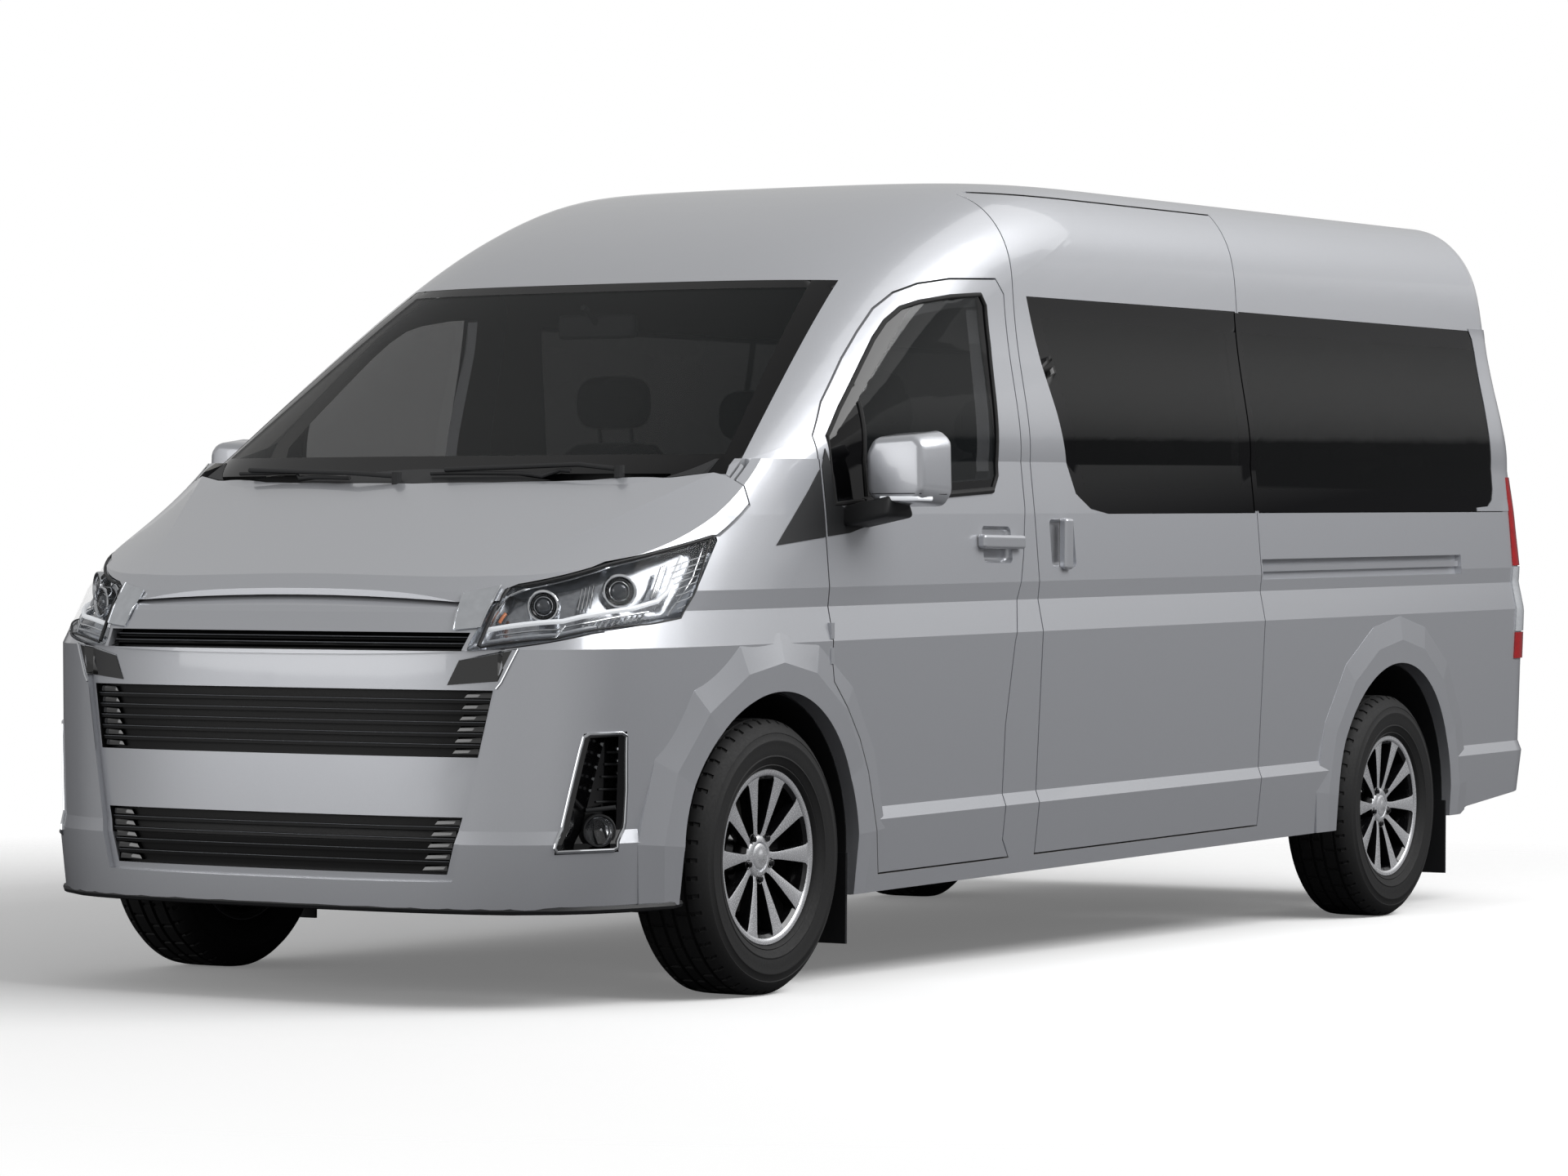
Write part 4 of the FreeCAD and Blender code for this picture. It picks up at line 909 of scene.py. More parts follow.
steps = []
sparks = []
FOG_STEPS = ((0.664, 0.832), (0.634, 0.828), (0.603, 0.823), (0.572, 0.819), (0.541, 0.815))
for number, (z, y_in) in enumerate(FOG_STEPS):
    shelf = [fog_point(y, z) + Vector((0.006, 0, -0.010)) for y in (y_in, 0.862)]
    steps.append(pipe(f"fog_step_{number}", shelf, 0.0030, 2))
    middle = fog_point(0.846, z, 0.004)
    for spark in (-0.010, 0.0, 0.010):
        bulb = turned_round(f"fog_spark_{number}", [(0.0036, -0.004), (0.0034, 0.002), (CENTRE, 0.0044),
                                                    (CENTRE, -0.004)], 8)
        sparks.append(aimed(bulb, middle + Vector((-spark * 0.7, spark, -0.002)), FOG_AXIS))
ledge = [fog_point(0.802, 0.510, 0.010), fog_point(0.866, 0.519, 0.012)]
steps.append(pipe("fog_ledge", ledge, 0.0058, 3))
both_sides(steps, "fog_lamp_steps", dark_trim)
both_sides(sparks, "fog_lamp_step_lights", guide_white)
fog_parts = [
    turned_round("fog_ring", [(0.041, -0.030), (0.041, 0.002), (0.0395, 0.0045), (0.0365, 0.0045),
                              (0.0350, 0.0015), (0.0350, -0.030)], 56, black_plastic),
    turned_round("fog_cup",
                 [(0.0352, 0.0), (0.0330, -0.004), (0.0220, -0.015), (0.0085, -0.020), (0.0080, -0.012),
                             (CENTRE, -0.010), (CENTRE, -0.024), (0.0352, -0.024)], 40, chrome),
    turned_round("fog_lens", [(0.0350, 0.000), (0.0300, 0.0034), (0.0200, 0.0062), (0.0100, 0.0076),
                              (CENTRE, 0.0080), (CENTRE, 0.0066), (0.0100, 0.0062), (0.0200, 0.0048),
                              (0.0300, 0.0020), (0.0350, -0.0012)], 40, lamp_cover)]
fog_place = fog_point(0.8355, 0.461, 0.012)
both_sides([aimed(piece, fog_place, FOG_AXIS) for piece in fog_parts], "fog_lamp_lights")

# Black triangle ahead of the door glass, on the fender and on the door.
sheets("fender_black_corners", black_plastic,
       [(2.052, 1.156), (1.870, 1.299), (1.808, 1.352), (1.807, 1.176)],
       "side", 0.0022, 0.004)
DOOR_TRIANGLE = [(1.793, 1.178), (1.793, 1.362), (1.768, 1.408), (1.735, 1.330), (1.730, 1.262),
                 (1.640, 1.236), (1.592, 1.203), (1.680, 1.186)]
door_corner = skin_sheet("door_corner", DOOR_TRIANGLE, "side", 0.0022, 0.004)
on_doors(door_corner, "front_{}_door_black_corner", black_plastic)


# Seats: padded parts modelled once, blown up as cloth, sewn with piping and copied to every place.
CLOTH_STEPS = 20
CLOTH_PRESSURE = 4
PIPING_RADIUS = 0.0028


def blown(piece, voxel, swell):
    """Remesh a form, let cloth swell it from inside and smooth it."""
    modified(piece, "REMESH", mode="VOXEL", voxel_size=voxel, use_smooth_shade=True)
    start = [vertex.co.copy() for vertex in piece.data.vertices]
    only(piece)
    modifier = piece.modifiers.new("cloth", "CLOTH")
    settings = modifier.settings
    settings.use_pressure = True
    settings.uniform_pressure_force = CLOTH_PRESSURE
    settings.effector_weights.gravity = 0
    for step in range(CLOTH_STEPS):
        scene.frame_set(step + 1)
    bpy.ops.object.modifier_apply(modifier=modifier.name)
    scene.frame_set(1)
    for vertex, rest in zip(piece.data.vertices, start):
        move = vertex.co - rest
        if move.length > swell:
            vertex.co = rest + move * (swell / move.length)
    return modified(piece, "SUBSURF", levels=1, render_levels=1)


def piping(name, piece, lines, axis):
    """Sewn beads laid on a padded form along lines, looking along an axis."""
    skin = tree_of(piece)
    beads = []
    for number, line in enumerate(lines):
        reached = [skin.ray_cast(point - Vector(axis) * 0.5, Vector(axis))[0]
                   for point in spread(line, 0.03)]
        places = [point for point in reached if point]
        if len(places) > 1:
            beads.append(pipe(f"{name}_{number}", places, PIPING_RADIUS, 1))
    return joined(name, beads)


def even(half):
    """An outline of (y, z) points from its left half."""
    return half + [(-y, z) for y, z in reversed(half)]


SEAT_HALF = 0.212
SEAT_TOP = 0.93
CUSHION_SIDE = [(0.004, 0.872), (0.450, 0.872), (0.474, 0.905), (0.470, 0.955), (0.430, 0.978),
                (0.220, 0.966), (0.060, 0.962), (0.004, 0.940)]
BACK_FRONT = even([(-0.205, 0.935), (-0.213, 1.150), (-0.205, 1.330), (-0.172, 1.440), (-0.120, 1.486)])
REST_FRONT = even([(-0.098, 1.512), (-0.122, 1.560), (-0.118, 1.625), (-0.088, 1.664)])
LEAN = 0.19


def leaned(piece):
    """Lean a seat's back to the rear, from the cushion upward."""
    for vertex in piece.data.vertices:
        vertex.co.x -= LEAN * max(0, vertex.co.z - SEAT_TOP)
    return piece


cushion = pushed("cushion", [(x, -SEAT_HALF, z) for x, z in CUSHION_SIDE], (0, 2 * SEAT_HALF, 0))
blown(bevelled(cushion, 0.022), 0.022, 0.016)
back = pushed("back", at_x(0.008, BACK_FRONT), (0.088, 0, 0))
blown(leaned(bevelled(back, 0.026)), 0.022, 0.016)
rest = pushed("rest", at_x(-0.092, REST_FRONT), (0.082, 0, 0))
blown(bevelled(rest, 0.024), 0.015, 0.012)
seams = joined("seat_seams", [
    piping("cushion_seams", cushion, [
        [(0.03, 0.125, 1.0), (0.46, 0.135, 1.0)], [(0.03, -0.125, 1.0), (0.46, -0.135, 1.0)],
        [(0.17, -0.125, 1.0), (0.17, 0.125, 1.0)], [(0.32, -0.130, 1.0), (0.32, 0.130, 1.0)]], (0, 0, -1)),
    piping("back_seams", back, [
        [(0.2, 0.125, 0.98), (0.2, 0.135, 1.20), (0.2, 0.105, 1.47)],
        [(0.2, -0.125, 0.98), (0.2, -0.135, 1.20), (0.2, -0.105, 1.47)],
        [(0.2, -0.130, 1.12), (0.2, 0.130, 1.12)], [(0.2, -0.125, 1.33), (0.2, 0.125, 1.33)]], (-1, 0, 0)),
    piping("rest_seams", rest, [[(0.2, -0.10, 1.60), (0.2, 0.10, 1.60)]], (-1, 0, 0))])
shell_front = [(y * 0.94, SEAT_TOP + (z - 0.935) * 0.97) for y, z in BACK_FRONT]
back_shell = leaned(bevelled(pushed("back_shell", at_x(-0.012, shell_front), (0.03, 0, 0)), 0.008, 2))
seat_posts = joined("seat_posts", [
    pipe("post", [(-0.071, y, 1.455), (-0.052, y, 1.55)], 0.0062, 2) for y in (-0.055, 0.055)])
seat_base = joined("seat_base", [
    block("seat_base", (0.06, -0.17, 0.640), (0.42, 0.17, 0.868), 0.012),
    block("seat_rail_left", (0.03, -0.165, 0.5755), (0.45, -0.125, 0.645), 0.006),
    block("seat_rail_right", (0.03, 0.125, 0.5755), (0.45, 0.165, 0.645), 0.006),
    block("seat_skirt", (0.02, -0.205, 0.850), (0.452, 0.205, 0.882), 0.010),
    *[pipe("seat_hinge", [(0.015, side * 0.214, 0.86), (0.03, side * 0.216, 1.00)], 0.016)
      for side in (-1, 1)]])
FRONT_PLACES = [(0.760, 0.430, 0), (0.760, -0.430, 0)]
REAR_PLACES = [(-0.330 - row * 0.760, y, 0) for row in range(4) for y in (0.607, -0.613, -0.167)]


def set_out(master, name, places, material, stands_for=()):
    """Copies of one part of a seat at every place, as one piece."""
    copies = [copy_of(master, f"{name}_{number}") for number in range(len(places))]
    piece = joined(name, [placed(twin, place) for twin, place in zip(copies, places)])
    done(piece, "body", material, smooth=60, stands_for=stands_for)


for group, places in (("front", FRONT_PLACES), ("rear", REAR_PLACES)):
    set_out(cushion, group + "_seat_cushions", places, cloth, stands_for=[group + "_seats"])
    set_out(back, group + "_seat_backs", places, cloth)
    set_out(rest, group + "_headrests", places, cloth)
    set_out(seams, group + "_seat_piping", places, dark_trim)
    set_out(back_shell, group + "_seat_back_shells", places, dark_trim)
    set_out(seat_posts, group + "_headrest_posts", places, satin)
    set_out(seat_base, group + "_seat_bases", places, dark_trim)
for master in (cushion, back, rest, seams, back_shell, seat_posts, seat_base):
    bpy.data.objects.remove(master)

# Door mirrors: painted cap over a black foot, a glass behind and a clear turn lamp in front.
CAP_BACK = [(0.980, 1.292), (0.974, 1.410), (1.004, 1.458), (1.150, 1.466), (1.180, 1.438), (1.184, 1.300),
            (1.160, 1.262), (1.010, 1.262)]
HOUSING = [(0.990, 1.296), (0.984, 1.408), (1.010, 1.450), (1.146, 1.456), (1.170, 1.434), (1.174, 1.304),
           (1.154, 1.272), (1.016, 1.272)]
GLASS = [(1.000, 1.300), (0.996, 1.404), (1.016, 1.440), (1.142, 1.446), (1.160, 1.430), (1.164, 1.308),
         (1.148, 1.282), (1.022, 1.282)]
CAP_MIDDLE_Y, CAP_MIDDLE_Z = 1.085, 1.350
CAP_TAPER_Y, CAP_TAPER_Z = 0.16, 0.14
cap = pushed("mirror_cap", at_x(1.548, CAP_BACK), (0.140, 0, 0))
for vertex in cap.data.vertices:
    if vertex.co.x > 1.60:
        vertex.co.y += (CAP_MIDDLE_Y - vertex.co.y) * CAP_TAPER_Y
        vertex.co.z += (CAP_MIDDLE_Z - vertex.co.z) * CAP_TAPER_Z
bevelled(cap, 0.030, 5, limit_method="ANGLE", angle_limit=math.radians(25))
foot = pushed("mirror_foot", [(1.560, 0.925, 1.206), (1.712, 0.925, 1.206), (1.700, 0.925, 1.262),
                              (1.600, 0.925, 1.266)], (0, 0.150, 0.030))
bevelled(foot, 0.014)
housing = bevelled(pushed("mirror_rim", at_x(1.541, HOUSING), (0.012, 0, 0)), 0.004, 2)
glass = pushed("mirror_back", at_x(1.5385, GLASS), (0.004, 0, 0))
cap_skin = tree_of(cap)


def on_cap(y, z):
    """Point of the cap's front at a place of the front view."""
    reached = cap_skin.ray_cast(Vector((1.9, y, z)), Vector((-1, 0, 0)))[0]
    return reached if reached else Vector((1.66, y, z))


turn_lamp = pipe("mirror_turn", [on_cap(1.040 + step * 0.0135, 1.2835) for step in range(10)], 0.0062, 3)
seam = pipe("mirror_seam", [on_cap(0.996 + step * 0.0180, 1.2960) for step in range(11)], 0.0014, 1)
on_doors(cap, "{}_mirror_cap", silver, smooth=50, stands_for=["{}_mirror"])
for piece, label, material in ((foot, "foot", black_plastic), (housing, "housing", black_plastic),
                               (glass, "glass", mirror_glass), (turn_lamp, "turn_lamp", guide_white),
                               (seam, "seam", black_plastic)):
    on_doors(piece, "{}_mirror_" + label, material, smooth=50)


# Glazing: black printed borders in the glasses.
def edge_plane(first, second, inside, view):
    """A plane through two points of a side (x, z) or front (y, z) view; its normal leads away from inside.

    Heights of the side view are body heights.
    """
    if view == "side":
        first, second = grounded("side", [first, second])
    (spot_a, height_a), (spot_b, height_b) = first, second
    along = Vector((spot_b - spot_a, height_b - height_a))
    normal = Vector((-along.y, along.x)).normalized()
    if normal.dot(Vector((inside[0] - spot_a, inside[1] - height_a))) > 0:
        normal = -normal
    if view == "side":
        return ((spot_a, 0, height_a), (normal.x, 0, normal.y))
    return ((0, spot_a, height_a), (0, normal.x, normal.y))


def side_edges(first, second, inside):
    """Planes on both sides of the vehicle, from one of the front view."""
    return [edge_plane((side * first[0], first[1]), (side * second[0], second[1]), inside, "front")
            for side in (1, -1)]


def bordered(node, body, glass_finish, planes):
    """A copy of a glass, parted by planes; faces beyond any plane are printed black.

    A plane is a point and a normal that leads to the printed side.
    """
    piece = welded_copy(node, node + "_printed")
    for place, normal in planes:
        cut_at(place, normal)
    leave()
    piece.data.materials.append(glass_finish)
    piece.data.materials.append(printed)
    for face in piece.data.polygons:
        beyond = any((face.center - Vector(place)).dot(Vector(normal)) > 0 for place, normal in planes)
        face.material_index = 1 if beyond else 0
    done(piece, body, stands_for=[node])


bordered("windscreen", "body", clear_glass, [
    ((2.20, 0, level(2.20, 1.392)), (-RAKE, 0, -1)), ((1.35, 0, level(1.35, 1.850)), (RAKE, 0, 1)),
    *side_edges((0.808, 1.36), (0.640, 1.88), (0, 1.6))])
for side in ("left", "right"):
    bordered(f"front_{side}_glass", f"front_{side}_door", door_glass, [
        ((1.574, 0, 1.4), (1, 0, 0)), ((0.852, 0, 1.4), (-1, 0, 0)),
        edge_plane((1.745, 1.292), (0.875, 1.330), (1.2, 1.6), "side"),
        edge_plane((1.700, 1.446), (1.236, 1.770), (1.0, 1.4), "side")])
LOW_EDGE = edge_plane((0.5, 1.305), (-2.7, 1.305), (-1, 1.7), "side")
HIGH_EDGE = edge_plane((0.5, 1.790), (-2.7, 1.780), (-1, 1.5), "side")
SLOPE = edge_plane((0.495, 1.820), (0.330, 1.330), (-1, 1.5), "side")
bordered("sliding_door_glass", "body", privacy_glass,
         [LOW_EDGE, HIGH_EDGE, SLOPE, ((-0.705, 0, 1.5), (-1, 0, 0))])
bordered("side_glass", "body", privacy_glass, [LOW_EDGE, HIGH_EDGE, ((-2.70, 0, 1.5), (-1, 0, 0)), SLOPE])
GATE_EDGES = side_edges((0.600, 1.40), (0.545, 1.90), (0, 1.6))
bordered("tailgate_glass", "tailgate", privacy_glass, [
    ((-2.9, 0, 1.400), (0, 0, -1)), ((-2.9, 0, 1.868), (0, 0, 1)), *GATE_EDGES])

FRONT_WINDOW = [(1.745, 1.262), (0.875, 1.303), (0.846, 1.340), (0.828, 1.531), (0.812, 1.706),
                (0.812, 1.815), (0.835, 1.845), (0.996, 1.834), (1.148, 1.815), (1.236, 1.796),
                (1.323, 1.757), (1.401, 1.708), (1.489, 1.643), (1.657, 1.516), (1.745, 1.440)]
for door in ("front_left_door", "front_right_door"):
    trim = joined(door + "_window_rubber", [
        side_line("seal", FRONT_WINDOW, 0.0070, -0.001, 0.03, True),
        side_line("bar", [(1.574, 1.282), (1.567, 1.532)], 0.0085, -0.002, 0.03),
        side_line("sill", [(1.590, 1.268), (0.880, 1.300)], 0.0095, 0.000, 0.04)])
    if door == "front_right_door":
        twin = across(trim, door + "_window_rubber")
        bpy.data.objects.remove(trim)
        trim = twin
    done(trim, door, rubber)

# A black strip joins the two side glasses, and the rear pillars are painted over the glass's end.
sheets("side_glass_joints", printed, [(-0.777, 1.240), (-0.777, 1.846), (-0.808, 1.846), (-0.808, 1.240)],
       "side", 0.0010, 0.003, 0.02)
PILLAR_EDGE = [(-2.480, 1.236), (-2.480, 1.248), (-2.575, 1.252), (-2.612, 1.272), (-2.628, 1.308),
               (-2.632, 1.370), (-2.622, 1.600), (-2.602, 1.770), (-2.590, 1.815), (-2.560, 1.850),
               (-2.790, 1.850), (-2.810, 1.236)]
sheets("rear_pillar_panels", silver, PILLAR_EDGE, "side", 0.0022, 0.004, 0.02)


# Wipers on the windscreen.
def on_screen(x, y, z, lift):
    """A point at a height over the windscreen's skin, from a measured place."""
    reached, normal, _, _ = screen_skin.find_nearest(Vector((x, y, level(x, z))))
    if normal.x + normal.z < 0:
        normal = -normal
    return reached + normal * lift


wipers = []
for number, (pivot, elbow, tip) in enumerate((
        ((2.318, -0.060, 1.330), (2.318, -0.20, 1.342), (2.262, -0.600, 1.350)),
        ((2.262, 0.590, 1.338), (2.280, 0.47, 1.345), (2.300, 0.080, 1.352)))):
    arm = [on_screen(*point, lift) for point, lift in ((pivot, 0.014), (elbow, 0.024), (tip, 0.020))]
    foot = [arm[0] - Vector((0, 0, 0.022)), arm[0] + Vector((0, 0, 0.010))]
    start = Vector(tip).lerp(Vector(elbow), 0.95)
    end = Vector(elbow).lerp(Vector(tip), 1.12)
    blade = [on_screen(*start.lerp(end, step / 12), 0.009) for step in range(13)]
    wipers += [pipe(f"wiper_arm_{number}", spread(arm, 0.05), 0.0065),
               pipe(f"wiper_pivot_{number}", foot, 0.014), pipe(f"wiper_blade_{number}", blade, 0.0055, 2)]
done(joined("windscreen_wipers", wipers), "body", black_plastic)

# Tail lamps: the lower part is clear, with fine ribs; a dark line frames each lamp.
lamp_slots = nodes["tail_lamps"].data.materials
lamp_slots.append(dark_trim)
for face in nodes["tail_lamps"].data.polygons:
    if looks_in(face):
        face.material_index = len(lamp_slots) - 1


def tail_band(name, low, height, proud):
    """A plate over the lamp from a height upward, wrapped from the back round to the side."""
    piece = welded_copy("tail_lamps", name)
    cut_at((0, 0, low), (0, 0, 1), clear_inner=True)
    cut_at((0, 0, low + height), (0, 0, 1), clear_outer=True)
    leave()
    for face in piece.data.polygons:
        away = Vector((face.center.x + 2.2, face.center.y, 0)).normalized()
        face.select = face.normal.dot(away) < 0.5
    enter()
    bpy.ops.mesh.select_mode(type="FACE")
    bpy.ops.mesh.delete(type="FACE")
    select_all()
    bpy.ops.transform.shrink_fatten(value=proud)
    leave()
    return thickened(piece, 0.003)


LAMP_X = -2.93
RIB_HEIGHT, RIB_STEP, BAND_HEIGHT = 0.0022, 0.0285, 0.0030
clear_low, clear_high = level(LAMP_X, 0.838), level(LAMP_X, 1.040)
done(tail_band("tail_lamp_clear_lenses", clear_low, clear_high - clear_low, 0.0020), "body", lens_white)
done(joined("tail_lamp_clear_ribs", [
    tail_band(f"tail_rib_{step}", clear_low + 0.002 + step * RIB_STEP, RIB_HEIGHT, 0.0034)
    for step in range(8)]), "body", satin)
done(joined("tail_lamp_red_ribs", [
    tail_band(f"tail_band_{number}", level(LAMP_X, z), BAND_HEIGHT, 0.0012)
    for number, z in enumerate((0.772, 0.806, 1.100, 1.160, 1.220, 1.280, 1.330))]), "body", deep_red)


# The lamps wrap round the corners on to the sides.
def wrap_end(z):
    return -2.836 - 0.070 * (z - 0.722)


for label, low, high, material in (("upper", 1.052, 1.350, red_lens), ("clear", 0.830, 1.048, lens_white),
                                   ("lower", 0.738, 0.826, red_lens)):
    outline = [(-2.745, low), (-2.745, high), (wrap_end(high), high), (wrap_end(low), low)]
    sheets(f"tail_lamp_{label}_wraps", material, outline, "side", 0.0040, 0.005, 0.016)

# Back: wiper, high stop lamp, handle above the plate's place, and reflectors in the bumper.
wiper = [tail_line("rear_arm", [(0.02, 1.345), (0.30, 1.372)], 0.0065, 0.018),
         tail_line("rear_blade", [(0.06, 1.400), (0.40, 1.420)], 0.0052, 0.009),
         tail_line("rear_link", [(0.30, 1.372), (0.26, 1.411)], 0.0060, 0.014),
         tail_line("rear_pivot", [(0.00, 1.345), (0.03, 1.345)], 0.0170, 0.004)]
done(joined("rear_wiper", wiper), "tailgate", black_plastic)
stop_lamp = tail_line("high_stop_lamp", [(-0.16, 1.868), (0.16, 1.868)], 0.0110, 0.000)
done(stop_lamp, "tailgate", red_lens)
handle = tail_line("tailgate_handle", [(-0.24, 1.052), (0.24, 1.052)], 0.0120, -0.001)
done(handle, "tailgate", black_plastic)
sheets("bumper_reflectors", red_lens, [(0.58, 0.392), (0.74, 0.392), (0.74, 0.420), (0.58, 0.420)], "tail",
       0.0012, 0.004, 0.02)

# Inner mirror on its stem, behind the middle of the windscreen.
stem_top = on_screen(1.52, 0.0, 1.790, -0.016)
mirror_spot = stem_top + Vector((-0.075, 0, -0.050))
mirror_half = Vector((0.014, 0.125, 0.034))
mirror_shell = block("inner_mirror_shell", mirror_spot - mirror_half, mirror_spot + mirror_half, 0.011, 4)
stem = pipe("inner_mirror_stem", [stem_top, stem_top + Vector((-0.030, 0, -0.012)), mirror_spot], 0.008)
done(joined("inner_mirror", [mirror_shell, stem]), "body", dark_trim)

# Black lip under the front bumper and black liners in the wheel openings.
LIP = 0.268
lip = [nose_at(y, level(2.9, LIP)) for y in (0.0, 0.15, 0.3, 0.42, 0.52, 0.60, 0.67)]
lip += [side_at(x, level(x, LIP)) for x in (2.80, 2.74, 2.68, 2.60, 2.52, 2.45)]
both_sides([pipe("bumper_lip", [point - Vector((0.009, 0, 0.006)) for point in lip], 0.0100, 2)],
           "front_bumper_lip", black_plastic)
LINER_IN, LINER_OUT, LINER_THICK = 0.640, 0.925, 0.003


def liner(name, x, height, radius):
    """A thin shell bent over a wheel."""
    angles = [math.radians(angle) for angle in range(-8, 189, 7)]
    arc = [(x + radius * math.cos(angle), LINER_IN, height + radius * math.sin(angle)) for angle in angles]
    piece = drawn(name, arc)
    bpy.ops.mesh.extrude_region_move(TRANSFORM_OT_translate={"value": (0, LINER_OUT - LINER_IN, 0)})
    leave()
    return thickened(piece, LINER_THICK, 0)


both_sides([liner("front_liner", FRONT_AXLE, 0.370, 0.4095), liner("rear_liner", REAR_AXLE, 0.376, 0.4395)],
           "wheel_arch_liners", black_plastic)


# Studio: pale floor, white surround for the camera, metal and glass, and soft lamps.
WHITE = (1, 1, 1, 1)
DARK = (0.10, 0.10, 0.105, 1)
FLOOR_SIZE, FLOOR_GLOW = 60, 0.16
FADE_START, FADE_END = 3.5, 6.5
WALL_RADIUS, WALL_HEIGHT, WALL_MIDDLE = 16, 6.8, 1.6


def mixed(tree, factor, output, first, second):
    """A mix of two shaders by one node's output."""
    mix = add_node(tree, "MixShader")
    link(tree, factor, output, mix, "Fac")
    link(tree, first, 0, mix, 1)
    link(tree, second, 0, mix, 2)
    return mix


def looked_at(tree, path):
    """One for rays from the camera, straight or through glass, and nought for the others."""
    seen = add_node(tree, "Math")
    seen.operation = "MAXIMUM"
    link(tree, path, "Is Camera Ray", seen, 0)
    link(tree, path, "Is Transmission Ray", seen, 1)
    return seen


# The floor fades out away from the vehicle, and reflections see it dark.
bpy.ops.object.select_all(action="DESELECT")
bpy.ops.mesh.primitive_plane_add(size=FLOOR_SIZE, location=(0, 0, 0))
floor = bpy.context.object
floor.name = "studio_floor"
ground = bpy.data.materials.new("studio_ground")
ground.use_nodes = True
tree = ground.node_tree
surface = tree.nodes["Principled BSDF"]
set_inputs(surface, Base_Color=(0.93, 0.93, 0.93, 1), Roughness=1.0, Specular_IOR_Level=0.0,
           Emission_Color=WHITE, Emission_Strength=FLOOR_GLOW)
place = add_node(tree, "TexCoord")
reach = add_node(tree, "VectorMath")
reach.operation = "LENGTH"
link(tree, place, "Object", reach, 0)
fade = add_node(tree, "MapRange", From_Min=FADE_START, From_Max=FADE_END)
link(tree, reach, "Value", fade, "Value")
dark_floor = add_node(tree, "BsdfDiffuse", Color=DARK)
two_floors = mixed(tree, looked_at(tree, add_node(tree, "LightPath")), 0, dark_floor, surface)
faded = mixed(tree, fade, "Result", two_floors, add_node(tree, "BsdfTransparent"))
link(tree, faded, "Shader", tree.nodes["Material Output"], "Surface")
floor.data.materials.append(ground)

# A dark wall round the studio that only reflections see; it gives the paint and the glass their lower shade.
bpy.ops.object.select_all(action="DESELECT")
bpy.ops.mesh.primitive_cylinder_add(vertices=96, radius=WALL_RADIUS, depth=WALL_HEIGHT,
                                    end_fill_type="NOTHING", location=(0, 0, WALL_MIDDLE))
wall = bpy.context.object
wall.name = "studio_wall"
bpy.ops.object.transform_apply(location=True, rotation=True, scale=True)
wall_look = bpy.data.materials.new("studio_wall")
wall_look.use_nodes = True
tree = wall_look.node_tree
tree.nodes.remove(tree.nodes["Principled BSDF"])
shade = add_node(tree, "Emission", Strength=1.0)
place = add_node(tree, "TexCoord")
parts = add_node(tree, "SeparateXYZ")
link(tree, place, "Object", parts, "Vector")
rise = add_node(tree, "MapRange", From_Min=-1.5, From_Max=5.0)
link(tree, parts, "Z", rise, "Value")
wall_ramp = add_node(tree, "ValToRGB")
stops = wall_ramp.color_ramp.elements
stops[0].color = DARK
stops[1].color = (0.70, 0.70, 0.70, 1)
stops.new(0.68).color = DARK
stops.new(0.74).color = (0.40, 0.40, 0.405, 1)
link(tree, rise, "Result", wall_ramp, "Fac")
ahead = add_node(tree, "MapRange", From_Min=3.0, From_Max=13.0)
link(tree, parts, "X", ahead, "Value")
toward_nose = add_node(tree, "Mix")
toward_nose.data_type = "RGBA"
set_inputs(toward_nose, B=(0.62, 0.62, 0.62, 1))
link(tree, ahead, "Result", toward_nose, "Factor")
link(tree, wall_ramp, "Color", toward_nose, "A")
link(tree, toward_nose, "Result", shade, "Color")
link(tree, shade, "Emission", tree.nodes["Material Output"], "Surface")
wall.data.materials.append(wall_look)
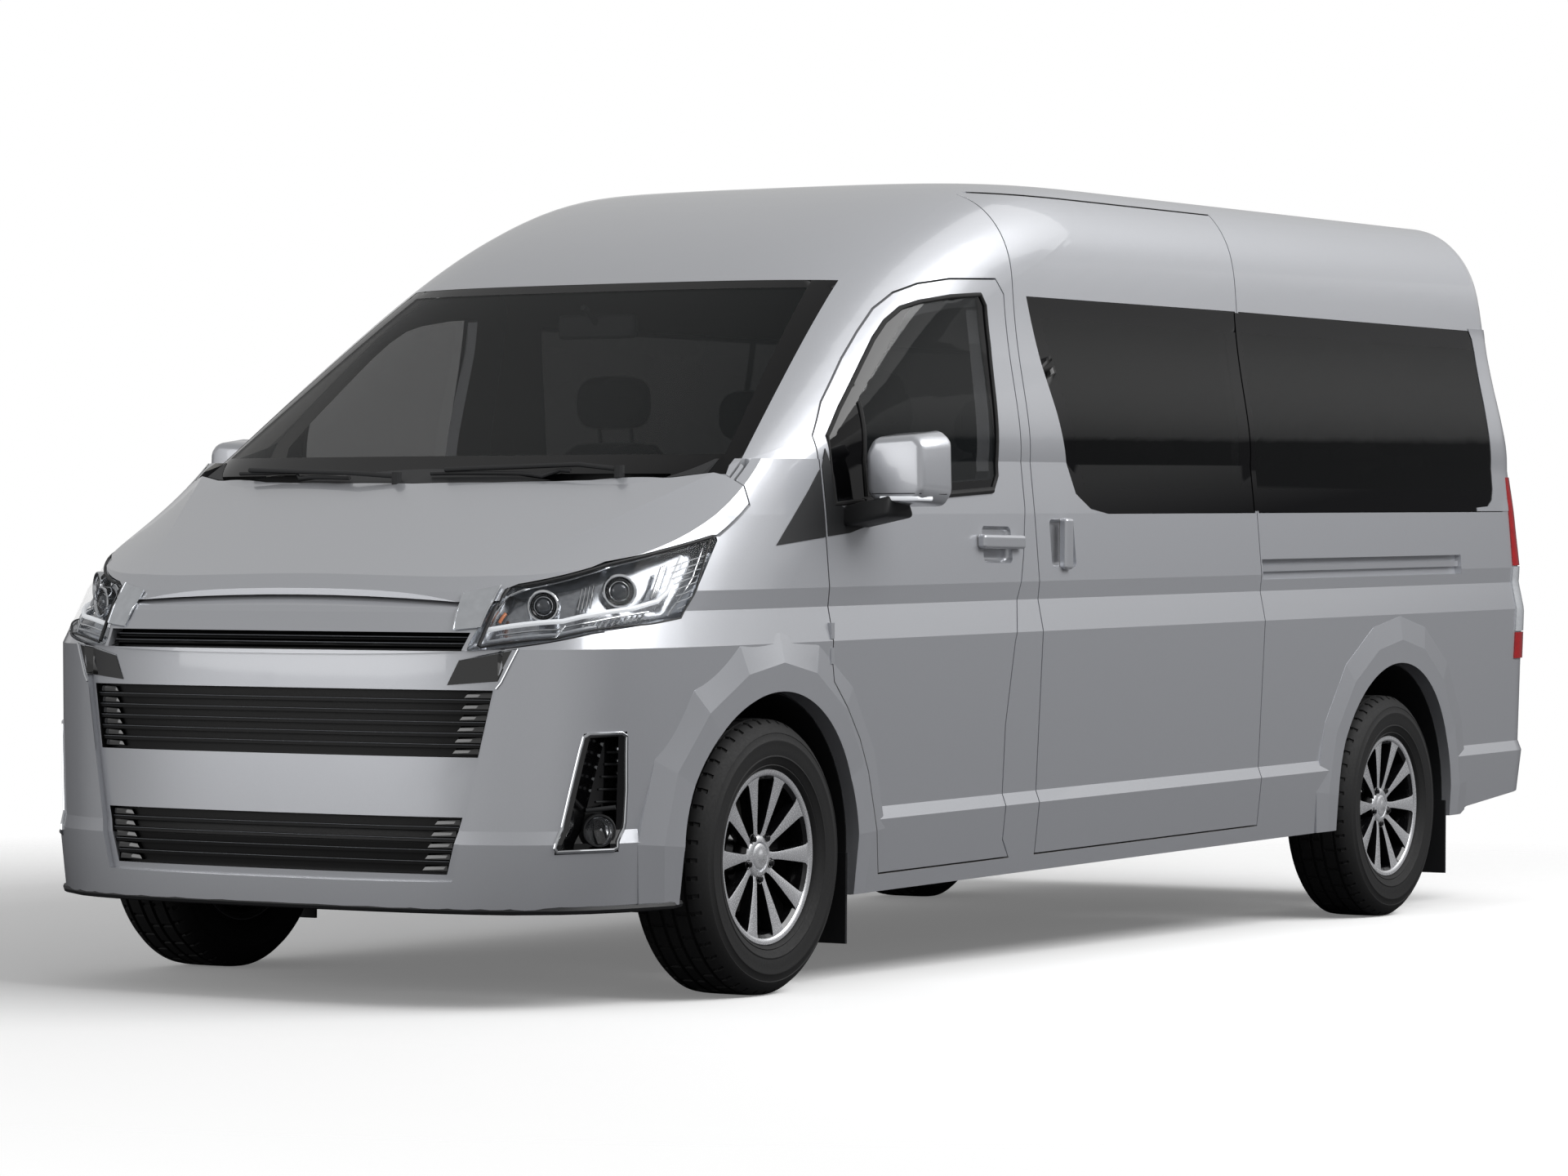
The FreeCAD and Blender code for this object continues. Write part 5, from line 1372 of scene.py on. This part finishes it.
wall.visible_camera = False
wall.visible_diffuse = False
wall.visible_transmission = False
wall.visible_shadow = False

# The surround: white to the camera, half bright in reflections and dim as light.
world = bpy.data.worlds.new("studio_surround")
scene.world = world
world.use_nodes = True
tree = world.node_tree
path = add_node(tree, "LightPath")
dim = tree.nodes["Background"]
set_inputs(dim, Color=WHITE, Strength=0.30)
mirrored_sky = add_node(tree, "Background", Color=WHITE, Strength=0.50)
bright = add_node(tree, "Background", Color=WHITE, Strength=1.0)
unseen = mixed(tree, path, "Is Glossy Ray", dim, mirrored_sky)
blend = mixed(tree, looked_at(tree, path), 0, unseen, bright)
link(tree, blend, 0, tree.nodes["World Output"], "Surface")


def soft_lamp(name, place, target, width, height, power):
    """A rectangular lamp at a place, turned to a target; power in watts."""
    lamp = bpy.data.lights.new(name, "AREA")
    lamp.shape = "RECTANGLE"
    lamp.size = width
    lamp.size_y = height
    lamp.energy = power
    piece = bpy.data.objects.new(name, lamp)
    piece.location = place
    piece.rotation_euler = (Vector(target) - Vector(place)).to_track_quat("-Z", "Y").to_euler()
    scene.collection.objects.link(piece)


soft_lamp("ceiling_softbox", (-3.0, 5.5, 7.5), (-1, 0.5, 1.5), 13, 7, 210)
soft_lamp("nose_softbox", (12, -5, 3.0), (2.5, 0, 0.9), 7, 4, 190)
soft_lamp("side_softbox", (-1.5, 8.5, 8.0), (-0.8, 1, 1.2), 14, 5, 1080)

# Camera at the photograph's place.
view = bpy.data.cameras.new("photo_camera")
camera = bpy.data.objects.new("photo_camera", view)
scene.collection.objects.link(camera)
scene.camera = camera
view.sensor_width = 36
view.lens = 115.4
view.clip_start = 0.5
view.clip_end = 200
forward = Vector((-0.8566, -0.5159, -0.0003)).normalized()
up = Vector((0.003, -0.0055, 1.0))
right = forward.cross(up).normalized()
up = right.cross(forward).normalized()
turn = Matrix((right, up, -forward)).transposed().to_4x4()
camera.matrix_world = Matrix.Translation((13.1015, 7.621, 1.051)) @ turn
scene.view_settings.view_transform = "Standard"
